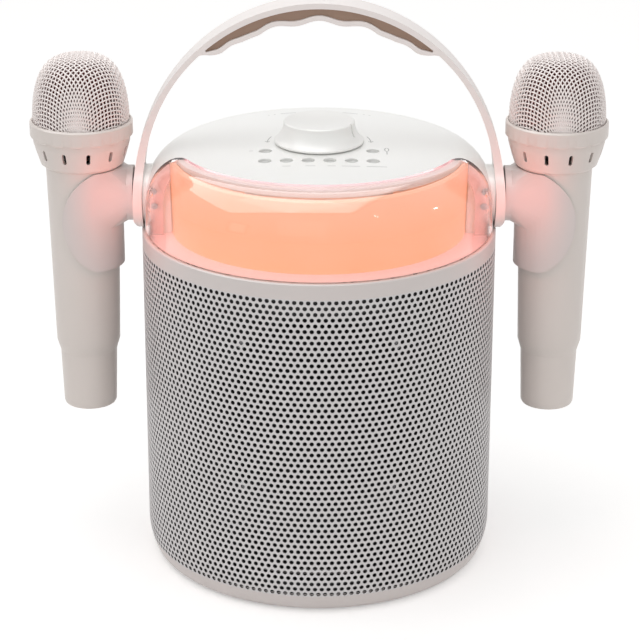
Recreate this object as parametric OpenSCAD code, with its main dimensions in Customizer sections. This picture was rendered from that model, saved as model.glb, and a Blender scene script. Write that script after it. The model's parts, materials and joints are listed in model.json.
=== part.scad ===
// Portable party speaker: a perforated tube under a lit chamber, with a folding arch handle
// and a microphone held in a clip on each end of the handle's axis.
// Millimetres. X to the right, Y to the rear, Z up, origin on the table at the tube's axis.

/* [Body] */
// Outer diameter of the perforated tube
body_d = 160; // [150:1:176]
// Height of the perforated tube between base ring and band
grille_h = 141.3; // [125:0.1:170]
// Thickness of the perforated sheet
sheet_t = 0.7; // [0.6:0.1:1.2]
// Openings round the perforated tube, a plain grid for the finer holes of the real sheet
grid_columns = 24; // [16:1:24]
// Rows of openings
grid_rows = 7; // [5:1:8]
// Share of a cell's width that its opening takes
grid_open = 0.64; // [0.5:0.01:0.7]
// Height of the moulded base ring
base_h = 7.7; // [6.5:0.1:10]
// How far the foot of the body draws in
foot_draw_in = 3.8; // [2:0.1:5]
// Height over which the foot of the body draws in
foot_curve_h = 15; // [13:0.5:18]
// Height of the base above the table
foot_gap = 1; // [0.6:0.1:2]
// Height of the plain band above the perforations
band_h = 7.1; // [6:0.1:10]
// Wall of the moulded housings
wall = 2.4; // [2:0.1:2.8]
// Gap between housings that fit into each other
fit_gap = 0.2; // [0.1:0.05:0.3]
// Diameter of a rubber foot
foot_d = 12; // [9:0.5:15]
// Distance of a foot's middle from the body's side
foot_inset = 19; // [17:0.5:22]
// Distance of a base screw from the body's side
base_screw_inset = 24; // [23:0.5:27]

/* [Speaker] */
// Gap between the perforated tube and the cabinet behind it
cabinet_gap = 8; // [7:0.5:10]
// Distance of the baffle's face in front of the axis
baffle_y = 42; // [38:0.5:46]
// Height of the driver's axis above the table
driver_z = 82; // [75:1:90]
// Outer diameter of the driver's flange
driver_d = 102; // [92:1:106]
// Diameter of the driver's magnet
magnet_d = 70; // [60:1:76]
// Thickness of the magnet with its plates
magnet_t = 18; // [14:1:22]

/* [Light chamber and cap] */
// Height from the band to the edge of the top plate
cap_h = 36.5; // [34:0.1:42]
// How far cap and window stand in from the band's face
cap_inset = 1.3; // [0.8:0.1:1.8]
// Width of the rounded shoulder
shoulder_w = 18.1; // [16:0.1:20]
// Height of the rounded shoulder
shoulder_h = 23.8; // [20:0.1:26]
// Rise of the top plate's centre above its edge
crown = 2.2; // [1:0.1:3]
// How much wider the arc of the top seam is than the top plate
seam_bow = 3.6; // [2:0.1:5]
// How far behind the axis the arc of the top seam is centred
seam_back = 7.7; // [6:0.1:9]
// Distance of the window's side seams in front of the axis
seam_y = 14.5; // [14:0.5:18]
// Rounding of the window's two upper corners
seam_r = 10; // [8:0.5:12]
// Gap between the cap's wall and the lit drum
drum_gap = 9.8; // [8.6:0.1:12]
// Wall of the lit drum
drum_wall = 2; // [1.6:0.1:2.4]
// Thickness of the chamber's floor
floor_t = 2.5; // [2:0.1:3]

/* [Knob] */
// Diameter of the knob at its foot
knob_d = 40; // [36:0.5:42]
// Diameter of the knob's top edge
knob_top_d = 32; // [28:0.5:34]
// Height of the knob above the cap's centre
knob_h = 10; // [8:0.5:12]
// Depth of the dish in the knob's top
knob_dish = 1.2; // [0.6:0.1:2]
// Diameter of the knob's shaft
knob_shaft_d = 6; // [5:0.5:8]

/* [Buttons] */
// Diameter of a button
button_d = 5.6; // [5:0.1:6.4]
// Distance between the buttons of the row
button_pitch = 9.5; // [9:0.1:10.5]
// Distance of the button row in front of the knob's axis
button_row_y = 26.3; // [26:0.1:28]
// Distance between the row and the two upper buttons
button_step_y = 13.6; // [11:0.1:14]
// Depth of a button's top below the top plate
button_sink = 0.8; // [0.4:0.1:1.2]
// Travel of a button
button_travel = 0.8; // [0.5:0.1:0.8]

/* [Handle] */
// Height of the handle's axis above the band
pivot_rise = 14.8; // [13.9:0.1:16]
// Gap between the cap's side and the handle's arm
arm_gap = 0.3; // [0.2:0.1:1]
// Thickness of the arm at the axis
arm_t = 4.1; // [3.6:0.1:5.5]
// Width of the arm from front to rear
arm_w = 16; // [14:0.5:18]
// Diameter of the round eye at the arm's end
eye_d = 31; // [28:0.5:32]
// Distance from the axis to the top of the arch
arch_rise = 88.9; // [87:0.1:94]
// Thickness of the rim above the grip's recess
rim_t = 2.5; // [2:0.1:3]
// Thickness of the wavy lip under the grip's recess
lip_t = 2.2; // [1.8:0.1:2.6]
// Height of the grip from the rim's top to the middle of a finger groove
grip_h = 7.6; // [7:0.1:8]
// Depth of the finger grooves
groove_depth = 1.8; // [1:0.1:2]
// Distance from one finger groove to the next
groove_pitch = 20; // [18:0.5:22]
// Depth of the grip's recess in each face
recess_depth = 5; // [4:0.5:6]
// Depth of the pads' face below the arm's face
pad_sink = 1.5; // [1:0.1:2]
// Diameter of the shafts that the handle turns on
pivot_d = 10; // [8:0.5:12]
// Radial play of the handle on its shafts
pivot_play = 0.05; // [0.02:0.01:0.09]

/* [Microphone clips] */
// Distance from the arm's outer face to the microphone's axis
clip_reach = 23.1; // [22.4:0.1:25]
// Diameter of the clip's neck
neck_d = 25; // [22:0.5:26]
// Height of the saddle
clip_h = 46; // [42:0.1:50]
// Height of the saddle's top above the handle's axis
clip_rise = 13.4; // [13.3:0.1:17]
// Wall of the saddle at its top
clip_wall = 1; // [0.9:0.1:1.4]
// Radius of the round outline that the saddle is cut to
clip_outline_r = 25; // [24.5:0.1:27]
// Gap between the saddle and the microphone's barrel
clip_play = 0.25; // [0.15:0.05:0.3]

/* [Microphones] */
// Diameter of the tail's lower end
tail_d = 24.3; // [22:0.1:25]
// Length of the tail
tail_l = 27; // [22:0.5:32]
// Diameter of the barrel's lower end
barrel_low_d = 29; // [28:0.1:30]
// Diameter of the barrel's upper end
barrel_top_d = 33; // [32:0.1:34]
// Length of the barrel
barrel_l = 88.6; // [84:0.1:95]
// Diameter of the cup's upper end
cup_d = 43.5; // [42:0.1:44]
// Length of the cup
cup_l = 15.4; // [14:0.1:18]
// Diameter of the collar
collar_d = 46; // [45:0.1:47]
// Height of the collar
collar_h = 5.5; // [5:0.1:7]
// Diameter of the mesh head
mesh_d = 43.6; // [42.5:0.1:44]
// Height of the mesh head
mesh_h = 30.5; // [27:0.1:34]
// Number of vent slots round the cup
vent_count = 12; // [8:1:16]
// Diameter of the cell in the barrel
cell_d = 18.4; // [16:0.1:19]
// Length of the cell in the barrel
cell_l = 65; // [55:1:68]

/* [Hidden] */
$fn = 96;

// Overlap of shapes that are fused or cut, and so show nothing
eps = 0.02;
// Far enough to cut right through a piece
far = 400;

// Heights of the body, from the table up
base_top = foot_gap + base_h;
band_z = base_top + grille_h;
band_top = band_z + band_h;
edge_z = band_top + cap_h;
shoulder_z = edge_z - shoulder_h;
pivot_z = band_top + pivot_rise;

// Radii of the body
body_r = body_d / 2;
cap_r = body_r - cap_inset;
flat_r = cap_r - shoulder_w;
seam_top_r = flat_r + seam_bow;
cabinet_r = body_r - cabinet_gap;
drum_r = cap_r - wall - drum_gap;
foot_arc_r = (foot_curve_h * foot_curve_h + foot_draw_in * foot_draw_in) / (2 * foot_draw_in);
crown_arc_r = (flat_r * flat_r + crown * crown) / (2 * crown);

// Radius of the body's foot at height z
function foot_r(z) = let(below = max(0, foot_gap + foot_curve_h - z))
    body_r - foot_arc_r + sqrt(foot_arc_r * foot_arc_r - below * below);

// Height of the top plate's outside at radius r
function plate_z(r) = edge_z + crown - crown_arc_r + sqrt(crown_arc_r * crown_arc_r - r * r);

// Outline of cap and window from the band up to the plate's centre, drawn in by t
function shell_points(t) = concat(
    [[0, band_top - (t > 0 ? 1 : 0)], [cap_r - t, band_top - (t > 0 ? 1 : 0)]],
    [for (a = [0:7.5:90]) [flat_r + (shoulder_w - t) * cos(a), shoulder_z + (shoulder_h - t) * sin(a)]],
    [for (k = [0.75, 0.5, 0.25, 0]) [flat_r * k, plate_z(flat_r * k) - t]]);

// A corner between two outlines, filled out to a tangent circle of radius r round centre
module corner_fillet(corner, touch_1, touch_2, centre, r) {
    difference() {
        polygon([corner, touch_1, centre, touch_2]);
        translate(centre) circle(r);
    }
}

module at_angles(angles, r) {
    for (a = angles) rotate([0, 0, a]) translate([r, 0, 0]) children();
}

// A pan head screw, its head's seat at z = 0 and its shank downwards
module screw(shank_r, length, head_r, head_h) {
    translate([0, 0, -length]) cylinder(r = shank_r, h = length + eps);
    difference() {
        cylinder(r = head_r, h = head_h);
        for (a = [0, 90]) rotate([0, 0, a])
            translate([-head_r * 0.6, -head_h * 0.16, head_h * 0.55])
                cube([head_r * 1.2, head_h * 0.32, head_h]);
    }
}

// Base and tube

floor_top = foot_gap + wall + 0.1;
foot_places = [45, 135, 225, 315];
foot_ring_r = body_r - foot_inset;
foot_sink = 1;
base_screw_r = 1.5;
base_screw_head_r = 3;
base_screw_head_h = 1.6;
base_screw_ring_r = body_r - base_screw_inset;
base_screw_places = [30, 150, 210, 330];
base_screw_l = 8.8;
boss_h = 10;
lip_r = foot_r(base_top) - sheet_t - fit_gap;
lip_h = 0.8;
edge_round = 1.2;

module base_tray() {
    color([0.81, 0.79, 0.79]) difference() {
        rotate_extrude($fn = 180) polygon(concat(
            [[0, foot_gap], [foot_r(foot_gap) - edge_round, foot_gap],
             [foot_r(foot_gap) - edge_round * 0.3, foot_gap + edge_round * 0.25]],
            [for (k = [0.2:0.2:1]) [foot_r(foot_gap + base_h * k), foot_gap + base_h * k]],
            [[lip_r, base_top], [lip_r, base_top + lip_h], [lip_r - wall, base_top + lip_h],
             [lip_r - wall, floor_top], [0, floor_top]]));
        at_angles(foot_places, foot_ring_r)
            translate([0, 0, foot_gap - 1]) cylinder(d = foot_d, h = 1 + foot_sink);
        at_angles(base_screw_places, base_screw_ring_r) {
            translate([0, 0, foot_gap - 1]) cylinder(r = base_screw_r + 0.2, h = wall + 3);
            translate([0, 0, foot_gap - 1]) cylinder(r = base_screw_head_r + 0.2, h = 1 + base_screw_head_h);
        }
    }
}

module rubber_feet() {
    color([0.25, 0.25, 0.26]) at_angles(foot_places, foot_ring_r)
        rotate_extrude() polygon([[0, 0], [foot_d / 2 - 0.8, 0], [foot_d / 2, 0.4],
            [foot_d / 2, foot_gap + foot_sink], [0, foot_gap + foot_sink]]);
}

module base_screws() {
    color([0.6, 0.6, 0.62]) at_angles(base_screw_places, base_screw_ring_r)
        translate([0, 0, foot_gap + base_screw_head_h]) mirror([0, 0, 1])
            screw(base_screw_r, base_screw_l, base_screw_head_r, base_screw_head_h - 0.2);
}

// Rear opening that the socket panel fills
panel_w = 52;
panel_h = 30;
panel_rise = 30;
panel_z = base_top + panel_rise;

module panel_block(grow) {
    translate([-panel_w / 2 - grow, 0, panel_z - panel_h / 2 - grow])
        cube([panel_w + 2 * grow, body_r + 5, panel_h + 2 * grow]);
}

module grille_tube() {
    tube_z = [base_top, base_top + 2, base_top + 5, foot_gap + foot_curve_h, band_z];
    color([0.82, 0.80, 0.80]) difference() {
        rotate_extrude($fn = 180) polygon(concat(
            [for (z = tube_z) [foot_r(z), z]],
            [for (i = [len(tube_z) - 1:-1:0]) [foot_r(tube_z[i]) - sheet_t, tube_z[i]]]));
        panel_block(fit_gap);
        grid_openings();
    }
}

// Six-sided openings in staggered rows, left out where the socket panel is
module grid_openings() {
    pitch = 2 * PI * body_r / grid_columns;
    row_h = grille_h / grid_rows;
    opening_r = pitch * grid_open / 2 / cos(30);
    for (row = [0:grid_rows - 1], column = [0:grid_columns - 1]) {
        angle = 90 + (column + 1 / 4 + row % 2 / 2) * 360 / grid_columns;
        z = base_top + (row + 0.5) * row_h;
        beside_panel = abs(body_r * sin(angle)) > panel_w / 2 + opening_r + 2 || cos(angle) > 0;
        above_panel = abs(z - panel_z) > panel_h / 2 + opening_r + 2;
        if (beside_panel || above_panel)
            rotate([0, 0, angle]) translate([0, -body_r + 8, z]) rotate([90, 0, 0]) rotate([0, 0, 30])
                cylinder(r = opening_r, h = 16, $fn = 6);
    }
}

shelf_r = cap_r - wall - 3;
shelf_z = band_top - floor_t;

// Round pocket that lets the handle's eye turn past the band, down to the arm's hollow inner face
module eye_pockets() {
    pocket_x = sqrt(arm_in * arm_in - eye_r * eye_r / 4) - 0.3;
    for (s = [-1, 1]) translate([s * pocket_x, 0, pivot_z])
        rotate([0, s * 90, 0]) cylinder(r = eye_r + 0.8, h = 20);
}

module grille_band() {
    tube_in = body_r - sheet_t - fit_gap;
    color([0.80, 0.78, 0.77]) difference() {
        rotate_extrude($fn = 180) polygon([
            [body_r, band_z], [body_r, band_top - 0.6], [body_r - 0.5, band_top],
            [cap_r - wall, band_top], [cap_r - wall, shelf_z], [shelf_r, shelf_z],
            [shelf_r, shelf_z - 2], [tube_in - wall, shelf_z - 2 - (tube_in - wall - shelf_r)],
            [tube_in - wall, band_z - lip_h], [tube_in, band_z - lip_h], [tube_in, band_z]]);
        eye_pockets();
    }
}

// Cabinet and driver

cabinet_wall = 3;
cabinet_floor = floor_top + cabinet_wall;
driver_hole_r = driver_d / 2 - 5;
flange_t = 3;
driver_screw_ring_r = driver_d / 2 - 2.4;
driver_screw_r = 1.1;
driver_head_r = 1.9;
rim_h = 6;

module cabinet_outline(t) {
    intersection() {
        circle(cabinet_r - t, $fn = 120);
        translate([-far / 2, -baffle_y + t]) square([far, far]);
    }
}

module inner_cabinet() {
    color([0.10, 0.10, 0.11]) difference() {
        union() {
            difference() {
                translate([0, 0, floor_top]) linear_extrude(shelf_z - floor_top) cabinet_outline(0);
                translate([0, 0, cabinet_floor]) linear_extrude(far) cabinet_outline(cabinet_wall);
            }
            // Rims that the perforated tube seats on, behind its lowest and its highest holes
            for (z = [base_top + lip_h + fit_gap, band_z - lip_h - fit_gap - rim_h])
                translate([0, 0, z]) rotate_extrude($fn = 180) polygon([
                    [cabinet_r - 1, 0], [foot_r(z) - sheet_t - fit_gap, 0],
                    [foot_r(z + rim_h) - sheet_t - fit_gap, rim_h], [cabinet_r - 1, rim_h]]);
            // Posts over the base screws
            intersection() {
                at_angles(base_screw_places, base_screw_ring_r)
                    translate([0, 0, floor_top]) cylinder(r = 4, h = boss_h);
                translate([0, 0, floor_top]) linear_extrude(boss_h) cabinet_outline(0);
            }
            // Slotted ribs that hold the main board upright
            for (x = [-board_w * 0.35, board_w * 0.35], y = [board_y - 3, board_y + board_t + fit_gap])
                translate([x - 1.5, y, cabinet_floor - eps]) cube([3, 3 - fit_gap, 10]);
        }
        translate([0, 0, driver_z]) rotate([90, 0, 0]) cylinder(r = driver_hole_r, h = body_r);
        at_angles(base_screw_places, base_screw_ring_r)
            translate([0, 0, floor_top - 1]) cylinder(r = base_screw_r + 0.05, h = boss_h);
        driver_screw_places() cylinder(r = driver_screw_r + 0.05, h = 3 * cabinet_wall, center = true);
        panel_tunnel();
    }
}

module panel_tunnel() {
    translate([-socket_w / 2, 0, panel_z - socket_h / 2]) cube([socket_w, body_r, socket_h]);
}

// Turns a profile round the driver's axis, forwards along its height, from the baffle's face
module driver_turn() {
    translate([0, -baffle_y, driver_z]) rotate([90, 0, 0]) rotate_extrude($fn = 120) children();
}

basket_depth = 34;
basket_back_r = magnet_d / 2 - 3;
cone_r = driver_hole_r - 9;
coil_r = 12.5;

module woofer_frame() {
    color([0.16, 0.16, 0.17]) difference() {
        driver_turn() polygon([
            [driver_hole_r - 3, flange_t], [driver_d / 2, flange_t], [driver_d / 2, 0],
            [driver_hole_r - 0.4, 0], [basket_back_r + 2, -basket_depth + 1.5],
            [basket_back_r + 2, -basket_depth], [coil_r + 1, -basket_depth],
            [coil_r + 1, -basket_depth + 1.5], [basket_back_r, -basket_depth + 1.5],
            [driver_hole_r - 3, 0]]);
        for (a = [0:60:300]) translate([0, -baffle_y, driver_z]) rotate([90, 0, 0]) rotate([0, 0, a + 30])
            translate([basket_back_r - 2, -7, -basket_depth + 6]) cube([20, 14, basket_depth - 12]);
        driver_screw_places() cylinder(r = driver_screw_r + 0.2, h = 3 * flange_t, center = true);
    }
}

// Four places round the driver's flange, each with its z axis forwards and its zero on the baffle
module driver_screw_places() {
    translate([0, -baffle_y, driver_z]) rotate([90, 0, 0])
        at_angles([45:90:315], driver_screw_ring_r) children();
}

module woofer_screws() {
    color([0.30, 0.30, 0.31]) driver_screw_places() translate([0, 0, flange_t])
        screw(driver_screw_r, flange_t + cabinet_wall - 0.5, driver_head_r, 1.3);
}

module woofer_cone() {
    roll_r = (driver_hole_r - 1 - cone_r) / 2;
    roll_c = cone_r + roll_r;
    roll_y = flange_t + 0.2;
    sheet = 0.8;
    neck_y = -14;
    rim_r = driver_screw_ring_r - driver_head_r - 0.3;
    color([0.20, 0.20, 0.21]) driver_turn() polygon(concat(
        [[rim_r, flange_t + sheet], [roll_c + roll_r, flange_t + sheet]],
        [for (a = [10:20:170]) [roll_c + roll_r * cos(a), roll_y + roll_r * sin(a)]],
        [[cone_r - 0.6, roll_y], [coil_r + 0.3, neck_y]],
        [for (a = [60:-20:0]) [(coil_r - 0.6) * sin(a), neck_y + 4 * cos(a)]],
        [for (a = [0:20:60]) [(coil_r - 0.6 - sheet) * sin(a), neck_y - sheet + 4 * cos(a)]],
        [[coil_r - 0.6, neck_y - sheet], [coil_r - 0.6, -basket_depth + 0.5],
         [coil_r, -basket_depth + 0.5], [coil_r, neck_y - sheet], [cone_r - 0.1, flange_t - 0.7]],
        [for (a = [170:-20:10]) [roll_c + (roll_r - sheet) * cos(a), roll_y + (roll_r - sheet) * sin(a)]],
        [[roll_c + roll_r, flange_t], [rim_r, flange_t]]));
}

module woofer_magnet() {
    color([0.30, 0.30, 0.32]) difference() {
        driver_turn() polygon([
            [0, -basket_depth - magnet_t], [magnet_d / 2 - 4, -basket_depth - magnet_t],
            [magnet_d / 2 - 3, -basket_depth - magnet_t + 3], [magnet_d / 2, -basket_depth - magnet_t + 3],
            [magnet_d / 2, -basket_depth - 3], [magnet_d / 2 - 3, -basket_depth - 3],
            [magnet_d / 2 - 3, -basket_depth], [coil_r + 1, -basket_depth],
            [coil_r + 1, -basket_depth - magnet_t + 5], [coil_r - 1.6, -basket_depth - magnet_t + 5],
            [coil_r - 1.6, -basket_depth + 1], [0, -basket_depth + 1]]);
    }
}

// Electronics in the cabinet

board_w = 56;
board_h = 44;
board_t = 1.6;
socket_w = 30;
socket_h = 12;
socket_depth = 9;
board_y = cabinet_r - cabinet_wall - 16;
cell_pack_d = 18.6;
cell_pack_l = 66;

module battery_pack() {
    color([0.22, 0.30, 0.42]) translate([0, 18, cabinet_floor + cell_pack_d / 2 + 0.4])
        rotate([0, 90, 0]) translate([0, 0, -cell_pack_l / 2]) linear_extrude(cell_pack_l) union() {
            for (y = [-cell_pack_d / 2, cell_pack_d / 2]) translate([0, y]) circle(d = cell_pack_d + 0.8);
            square([cell_pack_d + 0.8, cell_pack_d], center = true);
        }
}

module main_board() {
    parts = [[-16, 8, 10, 10, 2], [12, 12, 8, 8, 3], [-6, 26, 12, 6, 4]];
    color([0.08, 0.35, 0.20]) {
        translate([-board_w / 2, board_y, cabinet_floor]) cube([board_w, board_t, board_h]);
        for (p = parts) translate([p[0], board_y - p[4], cabinet_floor + p[1] + 8])
            cube([p[2], p[4] + eps, p[3]]);
        for (x = [-8, 8]) translate([x, board_y + eps, cabinet_floor + board_h - 8])
            rotate([90, 0, 0]) cylinder(r = 4, h = 12);
    }
}

module port_panel() {
    housing_y = board_y + board_t + fit_gap;
    color([0.24, 0.24, 0.25]) difference() {
        union() {
            intersection() {
                panel_block(0);
                difference() {
                    cylinder(r = body_r, h = far, $fn = 180);
                    translate([0, 0, -1]) cylinder(r = cabinet_r + fit_gap, h = far, $fn = 180);
                }
            }
            // Socket housing, through the cabinet's wall to the board
            translate([-socket_w / 2 + fit_gap, housing_y, panel_z - socket_h / 2 + fit_gap])
                cube([socket_w - 2 * fit_gap, cabinet_r + 3 - housing_y, socket_h - 2 * fit_gap]);
        }
        // Shallow face recess, charging socket, line socket and power socket
        translate([-socket_w / 2, body_r - 3.4, panel_z - socket_h / 2]) cube([socket_w, 10, socket_h]);
        translate([8, body_r - socket_depth - 3, panel_z]) rotate([-90, 0, 0])
            cylinder(r = 1.8, h = socket_depth + 10);
        translate([-12.5, body_r - socket_depth, panel_z - 1.65]) cube([9, socket_depth + 10, 3.3]);
    }
}

// Light chamber

module chamber_floor() {
    color([0.96, 0.94, 0.94]) difference() {
        translate([0, 0, shelf_z]) cylinder(r = cap_r - wall - fit_gap, h = floor_t, $fn = 180);
        translate([0, 0, shelf_z - 1]) cylinder(r = 9, h = floor_t + 2);
    }
}

led_board_r = drum_r - drum_wall - 8;
led_ring_r = led_board_r - 8;

module led_board() {
    color([0.93, 0.93, 0.91]) translate([0, 0, band_top]) difference() {
        cylinder(r = led_board_r, h = board_t);
        translate([0, 0, -1]) cylinder(r = 12, h = board_t + 2);
    }
}

module lamp_leds() {
    color([1, 0.78, 0.55]) at_angles([0:30:330], led_ring_r)
        translate([-2.5, -2.5, band_top + board_t]) cube([5, 5, 1.6]);
}

// Height at which the drum's wall meets the inside of the shoulder
drum_reach = max(0, drum_r - flat_r) / (shoulder_w - wall);
drum_top = shoulder_z + (shoulder_h - wall) * sqrt(1 - drum_reach * drum_reach) - 0.4;

module lamp_drum() {
    color([0.99, 0.72, 0.54]) rotate_extrude($fn = 180) polygon([
        [drum_r, band_top], [drum_r, drum_top - 0.8], [drum_r - 0.8, drum_top],
        [drum_r - drum_wall, drum_top], [drum_r - drum_wall, band_top]]);
}

// Plan of the window: in front of the side seams, outside the top seam, with rounded corners
module window_plan(grow) {
    r = seam_top_r - grow;
    y = -seam_y + grow - seam_back;
    f = seam_r + grow;
    centre_y = y - f;
    centre_x = sqrt(pow(r + f, 2) - centre_y * centre_y);
    translate([0, seam_back]) difference() {
        translate([-far / 2, -far / 2]) square([far, far / 2 + y]);
        circle(r, $fn = 180);
        for (s = [-1, 1]) scale([s, 1]) corner_fillet([sqrt(r * r - y * y) - 1, y + 1],
            [centre_x, y + 1], [centre_x * (r - 1) / (r + f), centre_y * (r - 1) / (r + f)],
            [centre_x, centre_y], f);
    }
}

tab_w = 5.5;
tab_t = 1.6;
window_screw_z = [shoulder_z + 0.9, shoulder_z + 7.5];
window_screw_x = cap_r - wall - 3.6;
flange_front = -seam_y + 0.15;
side_flange_t = 4;
window_head_r = 1.4;
window_head_h = 0.9;

module shell_between(t_out, t_in) {
    difference() {
        rotate_extrude($fn = 180) polygon(shell_points(t_out));
        rotate_extrude($fn = 180) polygon(shell_points(t_in));
    }
}

// Distance from the axis where the side flanges end, clear of the seat along the top seam
arch_end_x = drum_r - 4.3;

// Bands that follow the shell's inside down both sides, w wide
module side_arches(w) {
    difference() {
        rotate_extrude($fn = 180) polygon(shell_points(wall / 2));
        rotate_extrude($fn = 180) polygon(shell_points(wall + w));
        translate([-arch_end_x, -far / 2, 0]) cube([2 * arch_end_x, far, far]);
    }
}

// Room for the drum's wall in what reaches past it
module drum_room() {
    translate([0, 0, band_top - 1]) difference() {
        cylinder(r = drum_r + 0.6, h = drum_top - band_top + 1.3, $fn = 180);
        translate([0, 0, -1]) cylinder(r = drum_r - drum_wall - 0.6, h = far, $fn = 180);
    }
}

module clear_window() {
    color([1, 0.86, 0.85, 0.35]) difference() {
        union() {
            intersection() {
                shell_between(0, wall);
                translate([0, 0, band_top]) linear_extrude(far) window_plan(0);
            }
            // Inward flanges along the side seams, which the window is screwed by
            difference() {
                intersection() {
                    side_arches(tab_w);
                    translate([0, 0, band_top + fit_gap]) linear_extrude(far) intersection() {
                        window_plan(0.1);
                        translate([-far / 2, -seam_y - tab_t]) square([far, tab_t]);
                    }
                }
                drum_room();
            }
        }
        for (s = [-1, 1], z = window_screw_z) translate([s * window_screw_x, -seam_y - tab_t, z]) rotate([90, 0, 0]) {
            cylinder(r = 0.95, h = 12, center = true);
            // Room in the window's wall for the screw's head
            cylinder(r = window_head_r + 0.2, h = window_head_h + 0.3);
        }
    }
}

module window_screws() {
    color([0.35, 0.33, 0.33]) for (s = [-1, 1], z = window_screw_z)
        translate([s * window_screw_x, -seam_y - tab_t, z]) rotate([90, 0, 0])
            screw(0.85, tab_t + 0.6 + 3, window_head_r, window_head_h);
}

// Cap

plate_t = wall;

// Radius of a button's hole, and of the flange that keeps it in
well_r = button_d / 2 + 0.15;
keeper_r = well_r + 0.7;

button_places = concat(
    [for (i = [0:5]) [(i - 2.5) * button_pitch, -button_row_y]],
    [for (s = [-1, 1]) [s * 2.5 * button_pitch, -button_row_y + button_step_y]]);

// The top plate is thickened and levelled under the buttons and the knob
level_z = plate_z(flat_r) - plate_t - 0.4;
board_z = level_z - 7;
boss_r = 13;

boss_in = cap_r - wall - 5;

// Ledge along the top seam, out to radius r of its arc and up to the shell's outline drawn in by t
module window_seat(t, r) {
    intersection() {
        rotate_extrude($fn = 180) polygon(shell_points(t));
        translate([0, 0, edge_z - wall - 2.4]) cylinder(r = drum_r - drum_wall - 0.7, h = 20, $fn = 180);
        translate([-far / 2, -far, 0]) cube([far, far - seam_y + 6, far]);
        translate([0, seam_back, 0]) difference() {
            cylinder(r = r, h = far, $fn = 180);
            translate([0, 0, -1]) cylinder(r = seam_top_r - 8, h = far + 2, $fn = 180);
        }
    }
}

module top_cap() {
    color([0.95, 0.95, 0.94]) difference() {
        union() {
            difference() {
                shell_between(0, wall);
                translate([0, 0, band_top - 2]) linear_extrude(far) window_plan(0.15);
            }
            // Level underside of the plate
            translate([0, 0, level_z]) cylinder(r = seam_top_r - seam_back - 2, h = plate_t + 0.6, $fn = 120);
            // Seat under the window's top edge, and its foot on the plate
            window_seat(wall + 0.2, seam_top_r + 3);
            window_seat(wall - 0.3, seam_top_r - 0.6);
            // Side flanges that the window's flanges are screwed to
            intersection() {
                side_arches(tab_w);
                translate([-far / 2, flange_front, band_top]) cube([far, side_flange_t, far]);
            }
            // Baffles that close the lit chamber between the drum and the side flanges
            for (s = [-1, 1]) intersection() {
                rotate_extrude($fn = 180) polygon(shell_points(wall / 2));
                translate([s > 0 ? drum_r - drum_wall : -cap_r, flange_front + side_flange_t / 2, band_top])
                    cube([cap_r - drum_r + drum_wall, side_flange_t / 2, far]);
            }
            // Bosses for the handle's shafts
            intersection() {
                for (s = [-1, 1]) translate([s * boss_in, 0, pivot_z]) rotate([0, s * 90, 0])
                    cylinder(r = boss_r, h = arm_in - 0.15 - boss_in);
                translate([-far / 2, -far / 2, band_top]) cube(far);
            }
            // Posts that the control board hangs on
            translate([0, 0, board_z]) at_angles(post_places, post_ring_r)
                cylinder(r = 3, h = level_z - board_z + 0.5);
        }
        for (s = [-1, 1]) translate([s * (boss_in - 1), 0, pivot_z]) rotate([0, s * 90, 0])
            cylinder(d = pivot_d + 0.1, h = far);
        drum_room();
        at_angles(post_places, post_ring_r) translate([0, 0, board_z - 1]) cylinder(r = 1.05, h = 6.8);
        for (s = [-1, 1], z = window_screw_z) translate([s * window_screw_x, -seam_y, z])
            rotate([90, 0, 0]) cylinder(r = 0.9, h = 8, center = true);
        for (p = button_places) translate([p[0], p[1], level_z - 1]) cylinder(r = well_r, h = 20);
        translate([0, 0, level_z - 1]) cylinder(r = knob_shaft_d / 2 + 1.5, h = 20);
    }
}

post_ring_r = 40;
post_places = [30, 150, 205, 335];
control_w = 64;
control_front = -button_row_y - 5;
control_back = 26;
encoder_w = 14;
encoder_h = 5;
button_stem_r = 1.6;
switch_top = level_z - 1 - button_travel - 0.1;

module control_board() {
    color([0.08, 0.35, 0.20]) translate([0, 0, board_z - board_t]) difference() {
        linear_extrude(board_t) union() {
            translate([-control_w / 2, control_front]) square([control_w, control_back - control_front]);
            for (a = post_places) rotate(a) translate([0, -5]) square([post_ring_r + 4, 10]);
        }
        translate([0, 0, -1]) cylinder(d = knob_shaft_d + 2, h = board_t + 2);
        at_angles(post_places, post_ring_r) translate([0, 0, -1]) cylinder(r = 1.3, h = board_t + 2);
    }
}

module board_screws() {
    color([0.6, 0.6, 0.62]) at_angles(post_places, post_ring_r)
        translate([0, 0, board_z - board_t]) mirror([0, 0, 1]) screw(1, board_t + 5.5, 2.2, 1.2);
}

module tact_switches() {
    color([0.15, 0.15, 0.16]) for (p = button_places) translate([p[0], p[1], board_z]) {
        translate([-2.6, -2.6, 0]) cube([5.2, 5.2, switch_top - board_z - 1]);
        cylinder(r = 1.3, h = switch_top - board_z);
    }
}

module knob_encoder() {
    color([0.55, 0.55, 0.57]) translate([0, 0, board_z]) difference() {
        translate([-encoder_w / 2, -encoder_w / 2, 0]) cube([encoder_w, encoder_w, encoder_h]);
        translate([0, 0, 1]) cylinder(d = knob_shaft_d + 0.1, h = encoder_h);
    }
}

// Controls that move

knob_foot_z = plate_z(0) + 0.3;
pointer_angle = -26;
knob_top_z = plate_z(0) + knob_h;
knob_hollow = knob_h - knob_dish - 2.6;

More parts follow.
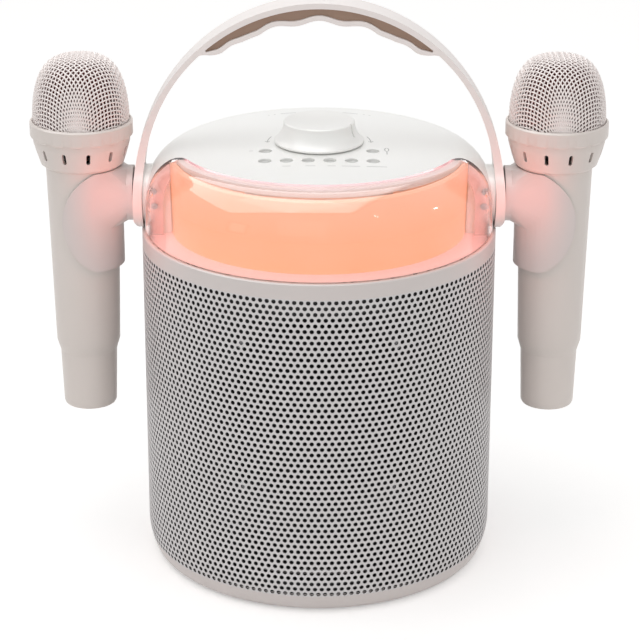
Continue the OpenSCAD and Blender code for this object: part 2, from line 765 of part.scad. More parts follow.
module knob() {
    foot = knob_d / 2;
    top = knob_top_d / 2;
    flare = [for (k = [0:0.125:1]) [foot - (foot - top) * pow(sin(90 * k), 0.75),
        knob_foot_z + 1 + (knob_top_z - knob_foot_z - 1.8) * k]];
    dish = [for (k = [1:-0.2:0]) [(top - 1.2) * k, knob_top_z - knob_dish * (1 - k * k)]];
    color([0.95, 0.95, 0.94]) difference() {
        rotate_extrude($fn = 128) polygon(concat(
            [[0, knob_foot_z], [foot - 0.4, knob_foot_z], [foot, knob_foot_z + 0.4]],
            flare, [[top, knob_top_z - 0.4], [top - 0.5, knob_top_z]], dish));
        // Hollow underside round the hub
        translate([0, 0, knob_foot_z - 1]) difference() {
            cylinder(r = top - 3, h = knob_hollow + 1);
            translate([0, 0, -1]) cylinder(r = knob_shaft_d / 2 + 2, h = knob_h + 2);
        }
        translate([0, 0, knob_foot_z - 1]) cylinder(d = knob_shaft_d + 0.1, h = knob_hollow + 1);
        // Pointer notch on the flank
        rotate([0, 0, pointer_angle]) translate([top - 0.9, -0.5, knob_foot_z + 4]) cube([8, 1, knob_h]);
    }
}

module knob_shaft() {
    color([0.70, 0.70, 0.72]) translate([0, 0, board_z + 1.2])
        cylinder(d = knob_shaft_d, h = knob_foot_z + knob_hollow - board_z - 1.2);
}

module button(place) {
    top = plate_z(norm(place)) - button_sink;
    color([0.93, 0.93, 0.92]) translate([place[0], place[1], 0]) rotate_extrude($fn = 48) polygon(concat(
        [[0, level_z - 1], [button_stem_r, level_z - 1], [button_stem_r, level_z - 0.9],
         [keeper_r, level_z - 0.9], [keeper_r, level_z - 0.1], [button_d / 2, level_z - 0.1],
         [button_d / 2, top - 0.5], [button_d / 2 - 0.15, top - 0.15], [button_d / 2 - 0.5, top]],
        [for (k = [0.6, 0.3, 0]) [(button_d / 2 - 0.5) * k, top - 0.25 * (1 - k * k)]]));
}

// Handle and its shafts

arm_in = cap_r + arm_gap;
arm_out = arm_in + arm_t;
eye_r = eye_d / 2;
notch_angle = 51.7;
arm_taper_angle = 45;
lip_run_angle = 6.3;
lip_clear = 0.2;
recess_angle = 53.5;

function smooth(a, b, x) = let(t = min(1, max(0, (x - a) / (b - a)))) t * t * (3 - 2 * t);

// Radii of the arch at angle a above the axis: outside, and inside with its finger grooves
function arch_out(a) = 1 / sqrt(pow(cos(a) / arm_out, 2) + pow(sin(a) / arch_rise, 2));
function lip_in(a) = let(x = (arch_rise - grip_h) * cos(a))
    max(arm_in + lip_clear, arch_out(a) - grip_h - groove_depth * (1 - cos(360 * x / groove_pitch)) / 2);
function arch_in(a) = let(b = a > 90 ? 180 - a : a, notch = arch_out(notch_angle) - rim_t,
        left = 1 - min(1, (b - notch_angle) / lip_run_angle))
    b < notch_angle ? arch_out(b) - arm_t + (arm_t - rim_t) * smooth(0, arm_taper_angle, b)
        : notch + (lip_in(b) - notch) * (1 - left * left);

// Outline of the grip's recess, drawn in by t
function recess_points(t) = concat(
    [for (k = [0:43]) let(a = recess_angle + k / 43 * (180 - 2 * recess_angle))
        (arch_out(a) - rim_t - t) * [cos(a), sin(a)]],
    [for (k = [43:-1:0]) let(a = recess_angle + k / 43 * (180 - 2 * recess_angle))
        (min(arch_in(a) + lip_t, arch_out(a) - rim_t - 0.8) + t) * [cos(a), sin(a)]]);

// Stands a front view drawing up at the handle's axis, y deep about the middle
module front_view(depth) {
    translate([0, depth / 2, pivot_z]) rotate([90, 0, 0]) linear_extrude(depth) children();
}

module arch_outline() {
    polygon(concat(
        [[arm_in + 1.4, -eye_r - 0.1], [arm_out - 1.4, -eye_r + 1.8], [arm_out, -eye_r + 5.5]],
        [for (a = [0:3:180]) arch_out(a) * [cos(a), sin(a)]],
        [[-arm_out, -eye_r + 5.5], [1.4 - arm_out, -eye_r + 1.8], [-arm_in - 1.4, -eye_r - 0.1],
         [-arm_in - 0.5, -eye_r - 0.1], [-arm_in, -eye_r + 1]],
        [for (a = [180:-1.25:0]) arch_in(a) * [cos(a), sin(a)]],
        [[arm_in, -eye_r + 1], [arm_in + 0.5, -eye_r - 0.1]]));
}

// Room that the arm fills, seen from the side: a round eye running into the parallel arm
module arm_envelope() {
    half = arm_w / 2;
    f = 14;
    centre = [half + f, sqrt(pow(eye_r + f - eps, 2) - pow(half + f, 2))];
    turn = atan2(centre[1], centre[0]);
    side = [for (k = [0:0.125:1]) centre + f * [cos(180 + turn * k), sin(180 + turn * k)]];
    translate([-far / 2, 0, pivot_z]) rotate([90, 0, 90]) {
        cylinder(r = eye_r, h = far, $fn = 120);
        linear_extrude(far) polygon(concat([[half, arch_rise + 5]], side, [[0, 0]],
            [for (i = [8:-1:0]) [-side[i][0], side[i][1]]], [[-half, arch_rise + 5]]));
    }
}

module handle_arch() {
    color([0.84, 0.82, 0.81]) difference() {
        intersection() {
            front_view(eye_d + 2) arch_outline();
            arm_envelope();
        }
        for (s = [-1, 1]) translate([s * (arm_in - 1), 0, pivot_z]) rotate([0, s * 90, 0])
            cylinder(r = pivot_d / 2 + pivot_play, h = arm_t + 2);
        // Flat seat against the cap's boss
        for (s = [-1, 1]) translate([s * (arm_in - 4), 0, pivot_z]) rotate([0, s * 90, 0])
            cylinder(r = boss_r + 0.6, h = 4);
        for (y = [-1, 1]) translate([0, y * (arm_w / 2 - recess_depth + 5), 0])
            front_view(10) polygon(recess_points(0));
    }
}

module grip_pads() {
    depth = recess_depth - pad_sink;
    color([0.58, 0.48, 0.41]) for (s = [-1, 1])
        translate([0, s * (arm_w / 2 - recess_depth + depth / 2), 0])
            front_view(depth) polygon(recess_points(0.1));
}

mic_x = arm_out + clip_reach;
shaft_end = arm_out + 2.6;
clip_screw_r = 1.25;

module pivot_shafts() {
    head_t = 2.4;
    color([0.70, 0.70, 0.72]) for (s = [-1, 1]) translate([0, 0, pivot_z]) rotate([0, s * 90, 0])
        difference() {
            union() {
                translate([0, 0, boss_in - head_t - 0.05]) cylinder(r = pivot_d / 2 + 2, h = head_t);
                translate([0, 0, boss_in - head_t]) cylinder(d = pivot_d, h = shaft_end - boss_in + head_t);
            }
            translate([0, 0, shaft_end - 8]) cylinder(r = clip_screw_r, h = 9);
        }
}

// Microphone, standing on z = 0, and its clip

chamfer_l = 5;
barrel_z = tail_l;
cup_z = barrel_z + barrel_l;
collar_z = cup_z + cup_l;
mesh_z = collar_z + 4.5;
clip_top = pivot_z + clip_rise;
clip_bottom = clip_top - clip_h;
mic_z = clip_top + clip_play - cup_z;
barrel_low_r = barrel_low_d / 2;
barrel_top_r = barrel_top_d / 2;

// Radius of the barrel at height z of the microphone
function barrel_r(z) = let(k = (z - barrel_z - chamfer_l) / (barrel_l - chamfer_l))
    barrel_low_r + (barrel_top_r - barrel_low_r) * k;

clip_r = barrel_top_r + clip_play + clip_wall;

module clip() {
    saddle_x = mic_x - clip_r;
    top_r = barrel_r(clip_top - mic_z) + clip_play;
    low_r = barrel_r(clip_bottom - mic_z) + clip_play;
    seat_x = shaft_end + 0.1;
    web_h = clip_rise - 0.2;
    color([0.84, 0.82, 0.81]) difference() {
        union() {
            intersection() {
                translate([mic_x, 0, clip_bottom]) cylinder(r = clip_r, h = clip_h, $fn = 120);
                translate([saddle_x + 1.2, 0, clip_bottom + clip_h / 2])
                    rotate([90, 0, 0]) cylinder(r = clip_outline_r, h = 60, center = true, $fn = 120);
            }
            // Neck, from the arm to the saddle, and the web that widens it out to the saddle's sides
            translate([arm_out + 0.3, 0, pivot_z]) rotate([0, 90, 0])
                cylinder(d = neck_d, h = mic_x - arm_out - 8);
            hull($fn = 48) {
                translate([arm_out + 3, 0, pivot_z]) rotate([0, 90, 0]) cylinder(d = neck_d, h = 1);
                intersection() {
                    translate([mic_x, 0, pivot_z - web_h]) cylinder(r = clip_r - 0.05, h = 2 * web_h);
                    translate([mic_x - clip_r, 0, pivot_z]) rotate([0, 90, 0]) cylinder(r = clip_r, h = clip_r);
                }
            }
        }
        translate([mic_x, 0, clip_bottom]) cylinder(r1 = low_r, r2 = top_r, h = clip_h, $fn = 120);
        translate([mic_x, 0, clip_top - eps]) cylinder(r = clip_r + 4, h = 20);
        translate([arm_out - 1, 0, pivot_z]) rotate([0, 90, 0]) {
            cylinder(d = pivot_d + 0.06, h = seat_x - arm_out + 1);
            cylinder(r = clip_screw_r + 0.2, h = 12);
        }
        translate([seat_x + 0.8, 0, pivot_z]) rotate([0, 90, 0]) cylinder(r = 2.7, h = 12);
    }
}

module clip_screws() {
    color([0.6, 0.6, 0.62]) for (s = [-1, 1]) translate([s * (shaft_end + 0.9), 0, pivot_z])
        rotate([0, s * 90, 0]) screw(clip_screw_r - 0.05, 7, 2.5, 1.2);
}

module mic_place(s) {
    translate([s * mic_x, 0, mic_z]) children();
}

tail_top_r = tail_d / 2 + 0.8;
spigot_r = cell_d / 2 + 2.2;

module mic_tail() {
    color([0.82, 0.80, 0.78]) rotate_extrude() polygon([
        [0, 0], [tail_d / 2 - 1.6, 0], [tail_d / 2 - 0.5, 0.5], [tail_d / 2, 1.6], [tail_top_r, tail_l],
        [spigot_r, tail_l], [spigot_r, tail_l + 6], [cell_d / 2 + 0.2, tail_l + 6],
        [cell_d / 2 + 0.2, tail_l], [spigot_r - 2, tail_l - 4], [spigot_r - 2, 6], [0, 6]]);
}

cell_z = tail_l + 1;

module mic_barrel() {
    bore_r = spigot_r + 0.15;
    color([0.82, 0.80, 0.78]) difference() {
        rotate_extrude() polygon([
            [bore_r, barrel_z], [tail_top_r + 0.1, barrel_z], [barrel_low_r, barrel_z + chamfer_l],
            [barrel_top_r, cup_z], [barrel_top_r - 3.4, cup_z], [bore_r, cup_z - 8]]);
    }
}

module mic_cell() {
    color([0.22, 0.30, 0.42]) translate([0, 0, cell_z]) {
        cylinder(d = cell_d, h = cell_l);
        cylinder(r = 3, h = cell_l + 1.5);
    }
}

module mic_board() {
    color([0.08, 0.35, 0.20]) translate([-spigot_r + 0.1, -board_t / 2, cell_z + cell_l + 1.6])
        cube([2 * spigot_r - 0.2, board_t, cup_z - cell_z - cell_l - 2]);
}

cup_r = cup_d / 2;
cup_foot_r = barrel_top_r + 0.5;

// Radius and height of the cup's flare, k from 0 to 1
cup_flare = [[0, 0], [0.36, 0.09], [0.68, 0.40], [0.97, 0.72], [1, 1]];
function cup_point(k, t) = [cup_foot_r + (cup_r - cup_foot_r) * k[0] - t, cup_z + cup_l * k[1]];
vent_w = 1.8;
vent_h = 5;
vent_z = cup_z + cup_l * 0.5;

module mic_cup() {
    color([0.84, 0.82, 0.80]) difference() {
        rotate_extrude($fn = 120) polygon(concat(
            [[capsule_stem_r + 0.2, cup_z]], [for (k = cup_flare) cup_point(k, 0)],
            [for (i = [4:-1:1]) cup_point(cup_flare[i], 2)],
            [[cup_foot_r - 2, cup_z + 2.2], [capsule_stem_r + 0.2, cup_z + 2.2]]));
        for (i = [0:vent_count - 1]) rotate([0, 0, i * 360 / vent_count + 13])
            translate([cup_r - 6, 0, vent_z]) rotate([0, 90, 0]) linear_extrude(12)
                for (k = [-1, 1]) {
                    translate([k * (vent_h - vent_w) / 2, 0]) circle(d = vent_w, $fn = 24);
                    square([vent_h - vent_w, vent_w], center = true);
                }
    }
}

skirt_h = 1.8;
collar_r = collar_d / 2;
mesh_r = mesh_d / 2;

module mic_collar() {
    lobes = 16;
    color([0.86, 0.84, 0.82]) difference() {
        rotate_extrude($fn = 120) polygon([
            [cup_r - 2, collar_z], [cup_r + 0.15, collar_z], [cup_r + 0.15, collar_z - skirt_h],
            [collar_r - 0.5, collar_z - skirt_h], [collar_r, collar_z - skirt_h + 0.8],
            [collar_r, collar_z + collar_h - 0.8], [collar_r - 0.6, collar_z + collar_h],
            [mesh_r + 0.15, collar_z + collar_h], [mesh_r + 0.15, mesh_z], [cup_r - 2, mesh_z]]);
        // Scallops along the skirt's lower edge
        for (i = [0:lobes - 1]) rotate([0, 0, (i + 0.5) * 360 / lobes])
            translate([collar_r - 4, 0, collar_z - skirt_h - 3.1]) rotate([0, 90, 0]) cylinder(r = 4, h = 8);
    }
}

// Domed outline of the head, drawn in by t
function dome(t, steps) = [for (i = [0:steps])
    let(a = i / steps, u = 1 - pow(1 - a, 2.2))
    [(mesh_r - t) * pow(max(0, 1 - pow(u, 2.2)), 0.28), mesh_z + (mesh_h - t) * u]];

module mic_mesh() {
    color([0.80, 0.77, 0.76]) rotate_extrude($fn = 120) polygon(concat(
        dome(0, 14), [for (i = [14:-1:0]) dome(mesh_t, 14)[i]]));
}

mesh_t = 1.2;
capsule_r = 8;
capsule_stem_r = 5;

module mic_foam() {
    color([0.20, 0.18, 0.18]) difference() {
        rotate_extrude($fn = 120) polygon(concat([[0, mesh_z]], dome(mesh_t + 0.3, 12)));
        translate([0, 0, mesh_z - 1]) cylinder(r = capsule_r + 0.3, h = 17.3);
    }
}

module mic_capsule() {
    color([0.62, 0.60, 0.55]) rotate_extrude() polygon([
        [0, cup_z + 1], [capsule_stem_r, cup_z + 1],
        [capsule_stem_r, cup_z + 3], [capsule_stem_r + 2, cup_z + 3],
        [capsule_stem_r + 2, mesh_z - 1], [capsule_r, mesh_z + 1], [capsule_r, mesh_z + 15.5],
        [capsule_r - 0.8, mesh_z + 16], [0, mesh_z + 16]]);
}

module left() { mirror([1, 0, 0]) children(); }

base_tray();
rubber_feet();
base_screws();
grille_tube();
grille_band();
inner_cabinet();
woofer_frame();
woofer_cone();
woofer_magnet();
woofer_screws();
battery_pack();
main_board();
port_panel();
chamber_floor();
led_board();
lamp_leds();
lamp_drum();
clear_window();
window_screws();
top_cap();
control_board();
tact_switches();
knob_encoder();
board_screws();
pivot_shafts();
left() clip();  // clip_left
clip();  // clip_right
clip_screws();
handle_arch();
grip_pads();
knob();
knob_shaft();
button(button_places[0]);  // button_row_1
button(button_places[1]);  // button_row_2
button(button_places[2]);  // button_row_3
button(button_places[3]);  // button_row_4
button(button_places[4]);  // button_row_5
button(button_places[5]);  // button_row_6
button(button_places[6]);  // button_left
button(button_places[7]);  // button_right
mic_place(-1) mic_tail();  // mic_left_tail
mic_place(-1) mic_barrel();  // mic_left_barrel
mic_place(-1) mic_cup();  // mic_left_cup
mic_place(-1) mic_collar();  // mic_left_collar
mic_place(-1) mic_mesh();  // mic_left_mesh
mic_place(-1) mic_foam();  // mic_left_foam
mic_place(-1) mic_capsule();  // mic_left_capsule
mic_place(-1) mic_board();  // mic_left_board
mic_place(-1) mic_cell();  // mic_left_cell
mic_place(1) mic_tail();  // mic_right_tail
mic_place(1) mic_barrel();  // mic_right_barrel
mic_place(1) mic_cup();  // mic_right_cup
mic_place(1) mic_collar();  // mic_right_collar
mic_place(1) mic_mesh();  // mic_right_mesh
mic_place(1) mic_foam();  // mic_right_foam
mic_place(1) mic_capsule();  // mic_right_capsule
mic_place(1) mic_board();  // mic_right_board
mic_place(1) mic_cell();  // mic_right_cell
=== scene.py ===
import json
import math
import bmesh
import bpy
import numpy as np
from mathutils import Matrix, Vector
from mathutils.bvhtree import BVHTree
from mathutils.geometry import tessellate_polygon

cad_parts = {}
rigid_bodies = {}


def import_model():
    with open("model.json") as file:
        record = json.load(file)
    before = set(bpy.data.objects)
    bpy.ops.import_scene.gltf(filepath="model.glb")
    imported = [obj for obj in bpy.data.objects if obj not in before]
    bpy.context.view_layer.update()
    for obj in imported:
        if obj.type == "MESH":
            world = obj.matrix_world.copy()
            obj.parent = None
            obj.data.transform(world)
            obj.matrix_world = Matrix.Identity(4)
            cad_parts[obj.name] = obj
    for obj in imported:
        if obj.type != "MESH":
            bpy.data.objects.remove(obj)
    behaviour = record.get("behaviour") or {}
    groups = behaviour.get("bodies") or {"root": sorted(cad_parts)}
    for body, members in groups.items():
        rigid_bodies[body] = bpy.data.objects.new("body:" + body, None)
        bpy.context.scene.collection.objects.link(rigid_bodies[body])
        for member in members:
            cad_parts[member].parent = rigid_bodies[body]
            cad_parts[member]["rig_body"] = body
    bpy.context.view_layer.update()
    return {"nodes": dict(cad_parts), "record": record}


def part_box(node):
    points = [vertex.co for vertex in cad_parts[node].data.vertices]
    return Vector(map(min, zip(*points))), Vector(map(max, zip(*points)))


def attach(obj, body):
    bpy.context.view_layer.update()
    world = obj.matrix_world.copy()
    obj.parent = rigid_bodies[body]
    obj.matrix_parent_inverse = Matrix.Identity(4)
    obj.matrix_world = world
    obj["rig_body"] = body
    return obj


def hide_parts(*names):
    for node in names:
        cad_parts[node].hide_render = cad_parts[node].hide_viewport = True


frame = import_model()
print("frame: loaded", len(frame["nodes"]), "nodes")

mm = 0.001
tubeLow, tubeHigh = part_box("grille_tube")
footCurve = 15.0         # height over which the body's foot draws in, mm
footDrawIn = 3.8         # how far it draws in
footTop = footCurve + 1  # height above the table where the foot's curve ends
footArc = (footCurve ** 2 + footDrawIn ** 2) / (2 * footDrawIn)
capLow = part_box("top_cap")[0]


# Colours, nodes and trees

def hexColour(text, alpha=1.0):
    parts = [int(text[i:i + 2], 16) / 255 for i in (1, 3, 5)]
    return [c / 12.92 if c <= 0.04045 else ((c + 0.055) / 1.055) ** 2.4 for c in parts] + [alpha]


def addNode(tree, kind, inputs=None, **settings):
    node = tree.nodes.new(kind)
    for name, value in settings.items():
        setattr(node, name, value)
    for key, value in (inputs or {}).items():
        if isinstance(value, bpy.types.NodeSocket):
            tree.links.new(value, node.inputs[key])
        else:
            node.inputs[key].default_value = value
    return node


def startMaterial(name):
    material = bpy.data.materials.new(name)
    material.use_nodes = True
    material.node_tree.nodes.clear()
    return material, material.node_tree


def finishMaterial(tree, shader):
    addNode(tree, "ShaderNodeOutputMaterial", {"Surface": shader})


# Materials

def mouldedPlastic(name, v):
    # Injection moulded plastic: even colour, a soft sheen and a fine spark-eroded grain
    material, tree = startMaterial(name)
    place = addNode(tree, "ShaderNodeTexCoord").outputs["Object"]
    cloud = addNode(tree, "ShaderNodeTexNoise", {"Vector": place, "Detail": 2.0,
                    "Scale": 1 / (v["cloudSize"] * mm)})
    tone = addNode(tree, "ShaderNodeMix", {0: cloud.outputs["Fac"], 6: hexColour(v["colour"]),
                   7: hexColour(v["colourTo"])}, data_type="RGBA")
    grain = addNode(tree, "ShaderNodeTexNoise", {"Vector": place, "Detail": 3.0,
                    "Scale": 1 / (v["grainSize"] * mm)})
    gloss = addNode(tree, "ShaderNodeMapRange", {"Value": grain.outputs["Fac"],
                    "To Min": v["roughness"] - 0.04, "To Max": v["roughness"] + 0.04})
    bump = addNode(tree, "ShaderNodeBump", {"Height": grain.outputs["Fac"], "Strength": v["grain"],
                   "Distance": 0.02 * mm})
    shader = addNode(tree, "ShaderNodeBsdfPrincipled", {
        "Base Color": tone.outputs[2], "Roughness": gloss.outputs["Result"],
        "Normal": bump.outputs["Normal"], "IOR": v["ior"]})
    finishMaterial(tree, shader.outputs[0])
    return material


def bareMetal(name, v):
    # Plated steel: grey, its shine broken by fine marks
    material, tree = startMaterial(name)
    place = addNode(tree, "ShaderNodeTexCoord").outputs["Object"]
    marks = addNode(tree, "ShaderNodeTexNoise", {"Vector": place, "Detail": 4.0,
                    "Scale": 1 / (v["markSize"] * mm)})
    gloss = addNode(tree, "ShaderNodeMapRange", {"Value": marks.outputs["Fac"],
                    "To Min": v["roughness"] - 0.08, "To Max": v["roughness"] + 0.08})
    bump = addNode(tree, "ShaderNodeBump", {"Height": marks.outputs["Fac"], "Strength": 0.15,
                   "Distance": 0.01 * mm})
    shader = addNode(tree, "ShaderNodeBsdfPrincipled", {
        "Base Color": hexColour(v["colour"]), "Metallic": 1.0,
        "Roughness": gloss.outputs["Result"], "Normal": bump.outputs["Normal"]})
    finishMaterial(tree, shader.outputs[0])
    return material


def powderCoat(name, v):
    # Powder coated steel sheet: a soft satin skin with a faint orange peel; where a skin depth is given,
    # painted shade darkens the walls of its holes
    material, tree = startMaterial(name)
    place = addNode(tree, "ShaderNodeTexCoord").outputs["Object"]
    peel = addNode(tree, "ShaderNodeTexNoise", {"Vector": place, "Detail": 1.0,
                   "Scale": 1 / (v["peelSize"] * mm)})
    cloud = addNode(tree, "ShaderNodeTexNoise", {"Vector": place, "Detail": 2.0,
                    "Scale": 1 / (v["cloudSize"] * mm)})
    tone = addNode(tree, "ShaderNodeMix", {0: cloud.outputs["Fac"], 6: hexColour(v["colour"]),
                   7: hexColour(v["colourTo"])}, data_type="RGBA").outputs[2]
    # Painted shade: below the skin the coat turns to the dark hole colour, standing in for the shade inside
    # the holes
    if "skin" in v:
        tone = addNode(tree, "ShaderNodeMix", {0: depthInSheet(tree, place, v["skin"]), 6: tone,
                       7: hexColour(v["holeShadeColour"])}, data_type="RGBA").outputs[2]
    bump = addNode(tree, "ShaderNodeBump", {"Height": peel.outputs["Fac"], "Strength": 0.2,
                   "Distance": 0.03 * mm})
    shader = addNode(tree, "ShaderNodeBsdfPrincipled", {"Base Color": tone, "Roughness": v["roughness"],
                     "Normal": bump.outputs["Normal"], "IOR": 1.5})
    finishMaterial(tree, shader.outputs[0])
    return material


def depthInSheet(tree, place, skin):
    # 0 on the tube's outside and 1 below its skin: a mask of painted shade that darkens the punched walls of
    # the holes
    def calc(operation, a, b=0.0):
        return addNode(tree, "ShaderNodeMath", {0: a, 1: b}, operation=operation).outputs[0]

    axes = addNode(tree, "ShaderNodeSeparateXYZ", {0: place}).outputs
    flat = addNode(tree, "ShaderNodeCombineXYZ", {0: axes["X"], 1: axes["Y"]})
    radius = addNode(tree, "ShaderNodeVectorMath", {0: flat.outputs[0]}, operation="LENGTH").outputs["Value"]
    below = calc("MAXIMUM", calc("SUBTRACT", footTop * mm, axes["Z"]), 0.0)
    rise = calc("SQRT", calc("SUBTRACT", (footArc * mm) ** 2, calc("MULTIPLY", below, below)))
    outside = calc("ADD", rise, tubeHigh.x - footArc * mm)
    depth = calc("SUBTRACT", outside, radius)
    return addNode(tree, "ShaderNodeMapRange", {"Value": depth, "From Min": skin * 0.4 * mm,
                   "From Max": skin * mm}).outputs["Result"]


def litDiffuser(name, v):
    # Milky polycarbonate with lamps behind it: it glows warm, paler above and in soft upright bands
    material, tree = startMaterial(name)
    place = addNode(tree, "ShaderNodeTexCoord").outputs["Object"]
    axes = addNode(tree, "ShaderNodeSeparateXYZ", {0: place})
    rise = addNode(tree, "ShaderNodeMapRange", {"Value": axes.outputs["Z"], "From Min": v["low"],
                   "From Max": v["high"]})
    ramp = addNode(tree, "ShaderNodeValToRGB", {"Fac": rise.outputs["Result"]})
    ramp.color_ramp.elements[0].color = hexColour(v["lowColour"])
    ramp.color_ramp.elements[1].color = hexColour(v["highColour"])
    middle = ramp.color_ramp.elements.new(v["midPlace"])
    middle.color = hexColour(v["midColour"])
    turn = addNode(tree, "ShaderNodeMath", {0: axes.outputs["X"], 1: axes.outputs["Y"]}, operation="ARCTAN2")
    times = addNode(tree, "ShaderNodeMath", {0: turn.outputs[0], 1: v["lamps"]}, operation="MULTIPLY")
    wave = addNode(tree, "ShaderNodeMath", {0: times.outputs[0]}, operation="COSINE")
    band = addNode(tree, "ShaderNodeMapRange", {"Value": wave.outputs[0], "From Min": -1.0, "To Min": 0.0,
                   "To Max": v["band"]})
    glow = addNode(tree, "ShaderNodeMix", {0: band.outputs["Result"], 6: ramp.outputs["Color"],
                   7: hexColour(v["bandColour"])}, data_type="RGBA")
    shader = addNode(tree, "ShaderNodeBsdfPrincipled", {
        "Base Color": hexColour(v["base"]), "Roughness": v["roughness"],
        "Emission Color": glow.outputs[2], "Emission Strength": v["strength"]})
    finishMaterial(tree, shader.outputs[0])
    return material


def clearShell(name, v):
    # Polished clear acrylic: the drum and the ledge show through, and lamps shine through it too; a thin
    # pink line of painted glow, an emission, runs along its upper edge where the acrylic would carry their
    # light
    material, tree = startMaterial(name)
    place = addNode(tree, "ShaderNodeTexCoord").outputs["Object"]
    axes = addNode(tree, "ShaderNodeSeparateXYZ", {0: place})
    back = addNode(tree, "ShaderNodeMath", {0: axes.outputs["Y"], 1: v["seamBack"] * mm},
                   operation="SUBTRACT")
    flat = addNode(tree, "ShaderNodeCombineXYZ", {0: axes.outputs["X"], 1: back.outputs[0]})
    reach = addNode(tree, "ShaderNodeVectorMath", {0: flat.outputs[0]}, operation="LENGTH")
    # Painted glow: a pink emission in a thin band along the window's upper edge, fading out over the rim
    # width
    rim = addNode(tree, "ShaderNodeMapRange", {
        "Value": reach.outputs["Value"], "From Min": v["seamRadius"] * mm,
        "From Max": (v["seamRadius"] + v["rimWidth"]) * mm, "To Min": v["paintedRimGlow"], "To Max": 0.0})
    high = addNode(tree, "ShaderNodeMath", {0: axes.outputs["Z"], 1: v["rimFrom"]}, operation="GREATER_THAN")
    glow = addNode(tree, "ShaderNodeMath", {0: rim.outputs["Result"], 1: high.outputs[0]},
                   operation="MULTIPLY")
    shader = addNode(tree, "ShaderNodeBsdfPrincipled", {
        "Base Color": hexColour(v["colour"]), "Roughness": v["roughness"], "IOR": v["ior"],
        "Transmission Weight": 1.0, "Emission Color": hexColour(v["paintedRimColour"]),
        "Emission Strength": glow.outputs[0]})
    way = addNode(tree, "ShaderNodeBsdfTransparent", {"Color": hexColour(v["passColour"])})
    path = addNode(tree, "ShaderNodeLightPath")
    rays = addNode(tree, "ShaderNodeMath", {0: path.outputs["Is Shadow Ray"],
                   1: path.outputs["Is Diffuse Ray"]}, operation="MAXIMUM")
    mix = addNode(tree, "ShaderNodeMixShader", {0: rays.outputs[0], 1: shader.outputs[0], 2: way.outputs[0]})
    finishMaterial(tree, mix.outputs[0])
    return material


